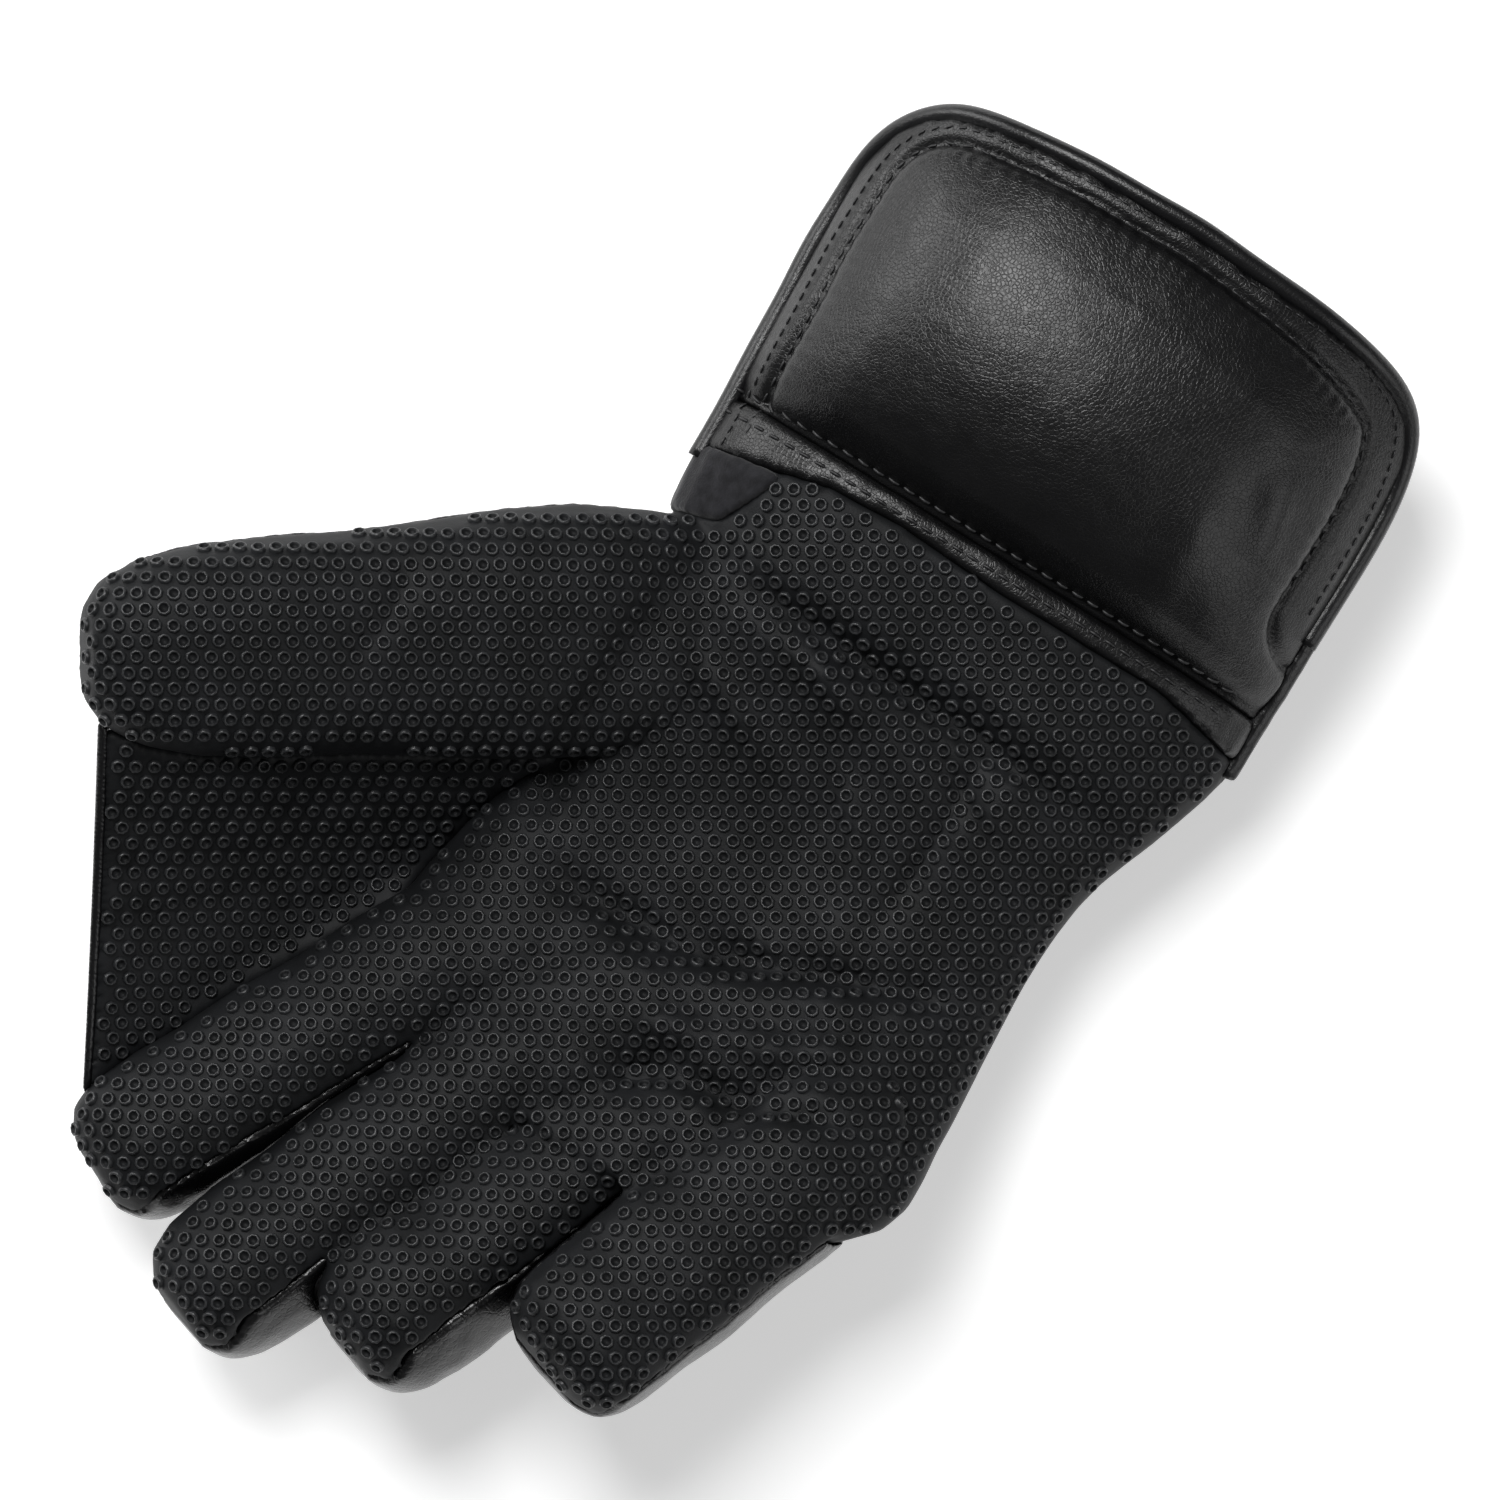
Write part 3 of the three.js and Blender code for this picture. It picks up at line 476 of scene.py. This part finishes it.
# %% Backs of the hand and stalls
def apart_from(node, near_mm, reach_mm):
    """A weight for each point: none near a solid, and full a reach further from it."""
    mesh = frame["nodes"][node].data
    corners = [v.co.copy() for v in mesh.vertices]
    solid = BVHTree.FromPolygons(corners, [list(face.vertices) for face in mesh.polygons])

    def rule(points, normals):
        gaps = [solid.find_nearest((Vector(p) + SHIFT) * MM)[3] / MM for p in points]
        return np.clip((np.array(gaps) - near_mm) / reach_mm, 0.0, 1.0)

    return rule


def back_push(points, normals):
    """Soft creases of a leather back, slow ones and fine ones."""
    return 0.35 * wavy(points, 11.0, 3) + 0.15 * wavy(points, 4.0, 4)


BACKS = ["hand_back", "index_back", "middle_back", "ring_back", "little_back", "thumb_back"]
for name in BACKS:
    melted = relaxed(skin_of(name, 1.0, 4), apart_from("palm_rubber", 1.5, 3.0), 70)
    finished(pushed(melted, back_push), BACK_LEATHER, [name])

# %% [markdown]
# ## The padded cuff
# The cuff is a padded gauntlet: a stitched channel runs inside its edge, and the panel inside it
# bulges with its padding. A real seam pulls the skin down in a groove and puckers it crosswise, so
# both are pushed into the skin along the channel's line. That line is the roll's own line, found
# from its solid by angle round the panel's middle and rounded.

# %% The cuff's edge line
PANEL_MIDDLE = np.array([0.0, 45.0])
CHANNEL_TOP = 5.8
CHANNEL_SIDE = 3.0


def channel_gap(share):
    """How far inside the roll the stitched channel runs: wider down the little finger's side."""
    return CHANNEL_TOP + CHANNEL_SIDE * (1.0 - np.clip((share - 0.22) / 0.16, 0.0, 1.0))


def middle_line(node, samples):
    """The middle line of the roll's solid round the panel, in the glove's own millimetres."""
    points, _ = surface_of(frame["nodes"][node].data)
    angles = np.arctan2(points[:, 1] - PANEL_MIDDLE[1], points[:, 0] - PANEL_MIDDLE[0])
    angles = np.where(angles < -math.pi / 2, angles + 2 * math.pi, angles)
    parts = np.array_split(np.argsort(angles), samples)
    return [points[part].mean(axis=0) for part in parts]


def softened(line, count, rounds):
    """The line through the same places, evenly divided and with its corners rounded."""
    corners = np.array(line)
    steps = np.linalg.norm(np.diff(corners, axis=0), axis=1)
    run = np.concatenate([[0.0], np.cumsum(steps)])
    even = np.linspace(0.0, run[-1], count)
    points = np.stack([np.interp(even, run, corners[:, k]) for k in range(3)], axis=1)
    for _ in range(rounds):
        points[1:-1] = 0.25 * points[:-2] + 0.5 * points[1:-1] + 0.25 * points[2:]
    return points


EDGE_LINE = softened(middle_line("cuff_piping", 40), 90, 8)
print("edge line", len(EDGE_LINE), "from", EDGE_LINE[0], "to", EDGE_LINE[-1])

# %% [markdown]
# The panel's upper side is relaxed first, so that no flat face shows in its gloss. Then it is
# pushed: down in the channel and in the double seam at the wrist, up in the padded middle, with
# small puckers beside the channel and three soft folds at the little finger's end.

# %% The cuff's two pads
SEAM_Y = 12.0
CUFF_FOLDS = [
    {"line": [(1278, 470), (1268, 510), (1248, 565)], "z": 52, "width": 2.6, "depth": 0.6},
    {"line": [(1240, 470), (1236, 520), (1215, 575)], "z": 52, "width": 3.2, "depth": -0.6},
    {"line": [(1190, 490), (1180, 540), (1150, 610)], "z": 50, "width": 4.0, "depth": 0.7},
]


def cuff_top(points, normals):
    """The weight of the cuff panel's upper side, away from its edges and its seam."""
    gap, _ = to_line(points, EDGE_LINE)
    inside = np.clip((gap - 2.5) / 4.0, 0.0, 1.0)
    above = np.clip((points[:, 1] - 13.5) / 5.0, 0.0, 1.0)
    return inside * above * np.clip((normals[:, 2] - 0.3) * 4.0, 0.0, 1.0)


def cuff_push(points, normals):
    """The cuff's border band, stitched channel, puckers, bulge and slow folds."""
    gap, share = to_line(points, EDGE_LINE)
    inside = gap - channel_gap(share)
    up = np.clip(normals[:, 2] * 1.4, 0.0, 1.0)
    channel = -1.3 * np.exp(-(inside**2))
    pucker = 0.14 * np.sin(share * 430.0 + 2.0 * wavy(points, 12.0, 6))
    pucker *= np.exp(-(((inside - 2.0) / 2.2) ** 2))
    bulge = 2.4 * np.clip(inside / 14.0, 0.0, 1.0) ** 0.5
    seam = -1.2 * np.exp(-(((points[:, 1] - SEAM_Y) / 2.6) ** 2))
    folds = folds_push(points, normals, CUFF_FOLDS)
    slow = 0.5 * wavy(points, 26.0, 5) + 0.1 * wavy(points, 9.0, 8)
    inner = np.clip((points[:, 1] - SEAM_Y) / 8.0, 0.0, 1.0)
    return up * (channel + seam + folds + (pucker + bulge + slow) * inner)


def cuff_back_push(points, normals):
    """The slow folds of the cuff's back."""
    return 0.5 * wavy(points, 20.0, 9) - 0.3


cuff = pushed(relaxed(skin_of("cuff_palm", 0.9, 3), cuff_top, 400), cuff_push)
finished(cuff, CUFF_LEATHER, ["cuff_palm"])
melted = relaxed(skin_of("cuff_back", 1.2, 3), apart_from("cuff_palm", 1.5, 4.0), 50)
cuff_back = pushed(melted, cuff_back_push)
finished(cuff_back, CUFF_LEATHER, ["cuff_back"])

# %% [markdown]
# ## The wrist's strip and gusset
# The strip covers the rubber's cut edge, and the gusset fills the corner beside the thumb. Each is
# one folded piece, swollen a little so that no light shows between it and its neighbours.

# %% Strip and gusset
strip = pushed(skin_of("wrist_strip", 0.8, 5, swell_mm=0.5), unevenness(0.15, 8.0, 10))
finished(strip, CUFF_LEATHER, ["wrist_strip"])
gusset = pushed(skin_of("wrist_gusset", 0.8, 4, swell_mm=0.7), unevenness(0.25, 7.0, 11))
finished(gusset, SUEDE, ["wrist_gusset"])

# %% [markdown]
# ## The roll round the cuff
# The real roll is a cord wrapped in a leather strip. It could be a curve with a round bevel. Here
# a circle is extruded step by step along the edge line instead, so that the result is a plain mesh
# whose place is in its vertices. Each step moves the new ring of points by the turn from one frame
# of the line to the next.

# %% The roll
ROLL_RADIUS = 2.15
ROLL_LIFT = np.array([0.0, 0.0, 0.8])


def line_frames(line):
    """For each place on a line, the matrix of a disc that stands across it."""
    frames = []
    for i, here in enumerate(line):
        way = Vector(line[min(i + 1, len(line) - 1)] - line[max(i - 1, 0)]).normalized()
        side = way.cross(Vector((0.0, 0.0, 1.0))).normalized()
        turn = Matrix((side, side.cross(way), -way)).transposed().to_4x4()
        frames.append(Matrix.Translation((Vector(here) + SHIFT) * MM) @ turn)
    return frames


def swept(name, line, radius_mm, sides):
    """A round tube along a line of places, with closed ends."""
    work = bmesh.new()
    frames = line_frames(line)
    disc = {"segments": sides, "radius": radius_mm * MM, "matrix": frames[0]}
    bmesh.ops.create_circle(work, cap_ends=False, **disc)
    rim = work.edges[:]
    for before, after in zip(frames, frames[1:]):
        new = bmesh.ops.extrude_edge_only(work, edges=rim)["geom"]
        points = [part for part in new if isinstance(part, bmesh.types.BMVert)]
        edges = [part for part in new if isinstance(part, bmesh.types.BMEdge)]
        rim = [edge for edge in edges if edge.is_boundary]
        bmesh.ops.transform(work, matrix=after @ before.inverted(), verts=points)
    bmesh.ops.holes_fill(work, edges=[e for e in work.edges if e.is_boundary], sides=0)
    bmesh.ops.recalc_face_normals(work, faces=work.faces)
    mesh = bpy.data.meshes.new(name)
    work.to_mesh(mesh)
    work.free()
    return shown(name, mesh)


def beyond(end, inner, length_mm):
    """A place past the end of a line, straight on from an inner place of it."""
    return end + (end - inner) / np.linalg.norm(end - inner) * length_mm


first = beyond(EDGE_LINE[0], EDGE_LINE[3], 3.0)
last = beyond(EDGE_LINE[-1], EDGE_LINE[-4], 2.0)
roll_line = softened([first, *EDGE_LINE, last], 170, 4) + ROLL_LIFT
piping = swept("cuff_piping_roll", roll_line, ROLL_RADIUS, 12)
finished(piping, ROLL_LEATHER, ["cuff_piping"])

# %% [markdown]
# ## Side roll and binding
# These two are narrow rolled pieces, grown from their solids like the larger ones. A finer remesh
# keeps them crisp.

# %% Side roll and binding
roll = pushed(skin_of("side_roll", 0.55, 4, swell_mm=0.25), unevenness(0.15, 5.0, 13))
finished(roll, ROLL_LEATHER, ["side_roll"])
binding = skin_of("web_binding", 0.4, 2, swell_mm=0.3)
finished(binding, ROLL_LEATHER, ["web_binding"])

# %% [markdown]
# ## Where the rings stand
# The palm's rubber carries rows of small open rings, nearly 3 mm wide and 3.35 mm apart. They are
# real geometry, because their crests catch the light and roughen the glove's outline. Each place
# of a triangular lattice is dropped onto the skins from above, as a plumb line would fall. It is
# kept where it meets the rubber, not too steep, with the same rubber all round it.

# %% Lattice places
PITCH = 3.35
ROW_SHARE = 0.866
JITTER = 0.14
JITTER_PATCH = 5.0
MARGIN = 1.1
STEEPEST = 0.16
LARGEST_STEP = 4.5
LATTICE_REACH = 320.0
COLUMNS = 50
DROP_HEIGHT = 0.2


def tree_of(objects):
    """One search tree over several meshes, with the index of each face's owner."""
    corners = []
    faces = []
    owners = []
    for index, obj in enumerate(objects):
        start = len(corners)
        corners.extend(v.co.copy() for v in obj.data.vertices)
        for face in obj.data.polygons:
            faces.append([start + i for i in face.vertices])
            owners.append(index)
    return BVHTree.FromPolygons(corners, faces), owners


SKINS = [o for o in bpy.data.objects if o.type == "MESH" and "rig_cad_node" not in o]
TREE, OWNERS = tree_of(SKINS)


def dropped(point):
    """The first skin below a point in plan: its place, normal and object, or nothing."""
    above = Vector((point.x, point.y, DROP_HEIGHT))
    hit, normal, index, _ = TREE.ray_cast(above, Vector((0.0, 0.0, -1.0)))
    if hit is None:
        return None
    if normal.z < 0:
        normal = -normal
    return hit, normal, SKINS[OWNERS[index]]


def clear_round(point, owner):
    """True if the skin is the same piece, without a step, all round a point."""
    height = dropped(point)[0].z
    for k in range(8):
        turn = k * math.pi / 4
        side = Vector((math.cos(turn), math.sin(turn), 0.0)) * MARGIN * MM
        near = dropped(point + side)
        if near is None or near[2] is not owner or abs(near[0].z - height) > LARGEST_STEP * MM:
            return False
    return True


def ring_places(owner):
    """The lattice places on one piece, each with its normal."""
    low, high = Vector(owner.bound_box[0]), Vector(owner.bound_box[6])
    spots = []
    rows = int(LATTICE_REACH / (PITCH * ROW_SHARE))
    for row in range(-rows // 2, rows // 2):
        for column in range(-COLUMNS, COLUMNS + 1):
            across = (column + 0.5 * (row % 2)) * PITCH
            along = row * PITCH * ROW_SHARE
            flat = VIEW_MIDDLE + LEVEL * across + RISE * along + SHIFT
            patch = flat / JITTER_PATCH
            drift = Vector((noise(patch), noise(patch + SHIFT), 0.0))
            flat = (flat + drift * 2.0 * JITTER) * MM
            if not (low.x < flat.x < high.x and low.y < flat.y < high.y):
                continue
            found = dropped(flat)
            if found is None or found[2] is not owner or found[1].z < STEEPEST:
                continue
            if clear_round(flat, owner):
                spots.append((found[0], found[1]))
    return spots


palm_spots = ring_places(palm)
web_spots = ring_places(web)
print("rings:", len(palm_spots), "on the palm and", len(web_spots), "on the web")

# %% [markdown]
# ## The rings themselves
# A ring is a turned shape, so its half section is spun about its axis: an outer wall, a flat crest
# and a crater. One such form is made, and a copy of it is set at each place, leaned to the
# surface's normal. The crater gets the darker rubber, as painted shade in its hollow against the
# ring's painted highlight. Eight sides are enough at this size, and keep thousands of rings light.

# %% Rings
RING_SECTION = ((1.46, -0.3), (1.42, 0.5), (1.24, 0.85), (0.96, 0.85), (0.78, 0.5), (0.66, 0.12))
RING_SIDES = 8
CRATER_RADIUS = 0.9
RING_SPREAD = 0.06


def spun(section, axis, sides):
    """A bmesh that a chain of points makes when it is turned all the way about an axis."""
    work = bmesh.new()
    points = [work.verts.new(Vector(point) * MM) for point in section]
    edges = [work.edges.new(pair) for pair in zip(points, points[1:])]
    turn = {"cent": (0.0, 0.0, 0.0), "axis": axis, "angle": 2 * math.pi, "steps": sides}
    bmesh.ops.spin(work, geom=points + edges, use_merge=True, **turn)
    return work


def ring_form():
    """One ring at the origin, with its crater as the second finish: the darker rubber, as painted
    shade.
    """
    work = spun([(radius, 0.0, height) for radius, height in RING_SECTION], (0, 0, 1), RING_SIDES)
    rims = [edge for edge in work.edges if edge.is_boundary]
    inner = [edge for edge in rims if edge.verts[0].co.xy.length < CRATER_RADIUS * MM]
    bmesh.ops.holes_fill(work, edges=inner, sides=0)
    bmesh.ops.recalc_face_normals(work, faces=work.faces)
    for face in work.faces:
        if face.calc_center_median().xy.length < CRATER_RADIUS * MM:
            # Crater faces take slot 1, the darker rubber: painted shade in the hollow.
            face.material_index = 1
    mesh = bpy.data.meshes.new("ring_form")
    work.to_mesh(mesh)
    work.free()
    return mesh


def copies(name, form, matrices):
    """One object with a copy of a form at each matrix."""
    work = bmesh.new()
    for matrix in matrices:
        placed = form.copy()
        placed.transform(matrix)
        work.from_mesh(placed)
        bpy.data.meshes.remove(placed)
    mesh = bpy.data.meshes.new(name)
    work.to_mesh(mesh)
    work.free()
    return shown(name, mesh)


def standing(hit, normal):
    """The matrix of a ring at a place: leaned to the normal, and a little larger or smaller."""
    lean = (normal + Vector((0.0, 0.0, 0.15))).normalized()
    side = lean.orthogonal().normalized()
    size = 1.0 + RING_SPREAD * noise(hit * 400.0)
    turn = Matrix((side * size, lean.cross(side) * size, lean)).transposed().to_4x4()
    return Matrix.Translation(hit) @ turn


third = len(palm_spots) // 3
ring = ring_form()
for name, spots in (
    ("palm_rings_fingers", palm_spots[:third]),
    ("palm_rings_knuckles", palm_spots[third : 2 * third]),
    ("palm_rings_wrist", palm_spots[2 * third :]),
    ("web_rings", web_spots),
):
    rings = copies(name, ring, [standing(hit, normal) for hit, normal in spots])
    finished(rings, RING_RUBBER_PAINTED_HIGHLIGHT, [])
    # Slot 1, the darker base rubber, paints the shade inside each crater.
    rings.data.materials.append(RUBBER)
bpy.data.meshes.remove(ring)

# %% [markdown]
# ## Stitches
# Each seam shows as short strands that dip into the leather. A stitch is a small capsule: its half
# section is spun about its length, and its ends are lowered. Copies of it are laid along the seam's
# line, dropped onto the skin from above.

# %% Stitch tools
STITCH_SIDES = 6
STITCH_SECTION = (
    (-0.5, 0.35, -0.6),
    (-0.36, 0.9, -0.1),
    (0.0, 1.0, 0.25),
    (0.36, 0.9, -0.1),
    (0.5, 0.35, -0.6),
)


def stitch_form(long_mm, thick_mm, lift_mm):
    """One stitch along X: shares of its length, thickness and rise make its section."""
    half = thick_mm / 2
    section = [(share * long_mm, thick * half, 0.0) for share, thick, _ in STITCH_SECTION]
    work = spun(section, (1, 0, 0), STITCH_SIDES)
    bmesh.ops.holes_fill(work, edges=[e for e in work.edges if e.is_boundary], sides=0)
    bmesh.ops.recalc_face_normals(work, faces=work.faces)
    for point in work.verts:
        nearest = min(STITCH_SECTION, key=lambda row: abs(row[0] * long_mm * MM - point.co.x))
        point.co.z += (lift_mm + nearest[2] * half) * MM
    mesh = bpy.data.meshes.new("stitch_form")
    work.to_mesh(mesh)
    work.free()
    return mesh


def walked(line, step_mm):
    """Even places along a line of corners in plan, each with its direction."""
    spots = []
    left = 0.0
    for a, b in zip(line, line[1:]):
        start, end = Vector(a[:2]), Vector(b[:2])
        length = (end - start).length
        way = (end - start) / length
        at = left
        while at < length:
            spots.append((start + way * at, way))
            at += step_mm
        left = at - length
    return spots


def sewn(name, lines, step_mm, long_mm, thick_mm, lift_mm=0.1):
    """Stitches along the lines, laid on the skins below them."""
    form = stitch_form(long_mm, thick_mm, lift_mm)
    matrices = []
    for line in lines:
        for spot, way in walked(line, step_mm):
            found = dropped(place(spot.x, spot.y))
            if found is None:
                continue
            hit, normal, _ = found
            along = way.to_3d()
            along = (along - normal * along.dot(normal)).normalized()
            turn = Matrix((along, normal.cross(along), normal)).transposed().to_4x4()
            matrices.append(Matrix.Translation(hit) @ turn)
    seam = copies(name, form, matrices)
    bpy.data.meshes.remove(form)
    return finished(seam, THREAD, [])


def inset(line, gaps_mm):
    """The line moved toward the cuff's middle by a gap for each of its corners."""
    middle = np.array([0.0, 40.0])
    moved = []
    for i, point in enumerate(line):
        way = line[min(i + 1, len(line) - 1)][:2] - line[max(i - 1, 0)][:2]
        way = way / np.linalg.norm(way)
        across = np.array([-way[1], way[0]])
        if across @ (middle - point[:2]) < 0:
            across = -across
        moved.append(tuple(point[:2] + across * gaps_mm[i]))
    return moved


print("stitch tools ready")

# %% [markdown]
# The wrist has a double seam, two rows 4.6 mm apart. The channel has one row sunk in its groove,
# and a finer topstitch runs beside the roll.

# %% Seams of the cuff
SEAM_ENDS = [(735, 400), (1220, 700)]
SEAM_HALF = 2.3
TOPSTITCH_GAP = 2.7

seam_line = on_picture(SEAM_ENDS, 50)
rows = [[(x, y + offset) for x, y, z in seam_line] for offset in (SEAM_HALF, -SEAM_HALF)]
sewn("seam_stitches", rows, 3.4, 2.6, 0.75)
shares = np.linspace(0.0, 1.0, len(EDGE_LINE))
sewn("channel_stitches", [inset(EDGE_LINE, channel_gap(shares))[2:-2]], 3.4, 2.4, 0.6, -0.05)
topstitch = inset(EDGE_LINE, np.full(len(EDGE_LINE), TOPSTITCH_GAP))[1:-1]
sewn("piping_stitches", [topstitch], 2.6, 1.8, 0.5)

# %% [markdown]
# ## Floor
# The picture is a product photograph on white. The floor is one large square of matt paper, lit
# from behind a little, as on a light table, so that it stays white while the glove stays black.

# %% Floor
SPAN = 3.0
sheet = bmesh.new()
bmesh.ops.create_grid(sheet, x_segments=1, y_segments=1, size=SPAN)
floor_mesh = bpy.data.meshes.new("floor")
sheet.to_mesh(floor_mesh)
sheet.free()
floor = shown("floor", floor_mesh)
paper = {"Base_Color": linear("f4f4f4"), "Roughness": 0.9}
paper.update({"Emission_Color": linear("ffffff"), "Emission_Strength": 0.4})
floor_mesh.materials.append(new_material("white_paper", **paper)[0])
print("floor ready")

# %% [markdown]
# ## Light and camera
# A soft key light stands almost over the palm, a low light from the upper left brings out the
# rings, and a weak fill opens the shadows. The world is dim, so that the leather stays dark. The
# camera looks straight down through a long lens, turned to the picture's level line. Its lens is
# lengthened by a hair, because the rounded skins are slightly smaller than the solids.

# %% Lights and camera
LIGHT_AIM = place(-19.0, -44.0, 30.0)
SENSOR = 36.0
FRAMING = 1.008


def from_view(right_m, up_m, high_m):
    """A place given by its offsets along the picture's right and up directions."""
    return LIGHT_AIM + LEVEL * right_m + RISE * up_m + Vector((0.0, 0.0, high_m))


def soft_light(name, where, size, power):
    """A square lamp that faces the glove."""
    lamp = bpy.data.lights.new(name, "AREA")
    lamp.shape = "SQUARE"
    lamp.size = size
    lamp.energy = power
    obj = bpy.data.objects.new(name, lamp)
    obj.location = where
    obj.rotation_euler = (LIGHT_AIM - where).to_track_quat("-Z", "Y").to_euler()
    bpy.context.scene.collection.objects.link(obj)


soft_light("key_light", from_view(-0.2, 0.5, 1.15), 0.45, 12.0)
soft_light("fill_light", from_view(0.95, -0.6, 0.8), 0.9, 4.5)
soft_light("side_light", from_view(-0.9, 0.75, 0.5), 0.6, 8.0)
world = bpy.data.worlds.new("studio")
bpy.context.scene.world = world
world.use_nodes = True
world.node_tree.nodes["Background"].inputs["Color"].default_value = linear("fafafa")
world.node_tree.nodes["Background"].inputs["Strength"].default_value = 0.12
bpy.context.scene.view_settings.view_transform = "Standard"

camera_data = bpy.data.cameras.new("camera")
camera_data.sensor_width = SENSOR
camera_data.lens = SENSOR * FRAMING * FOCAL / PICTURE
camera = bpy.data.objects.new("camera", camera_data)
camera.location = place(VIEW_MIDDLE.x, VIEW_MIDDLE.y, VIEW_HEIGHT)
camera.rotation_euler = (0.0, 0.0, math.atan2(LEVEL.y, LEVEL.x))
bpy.context.scene.collection.objects.link(camera)
bpy.context.scene.camera = camera
print("camera at", [round(c, 3) for c in camera.location])
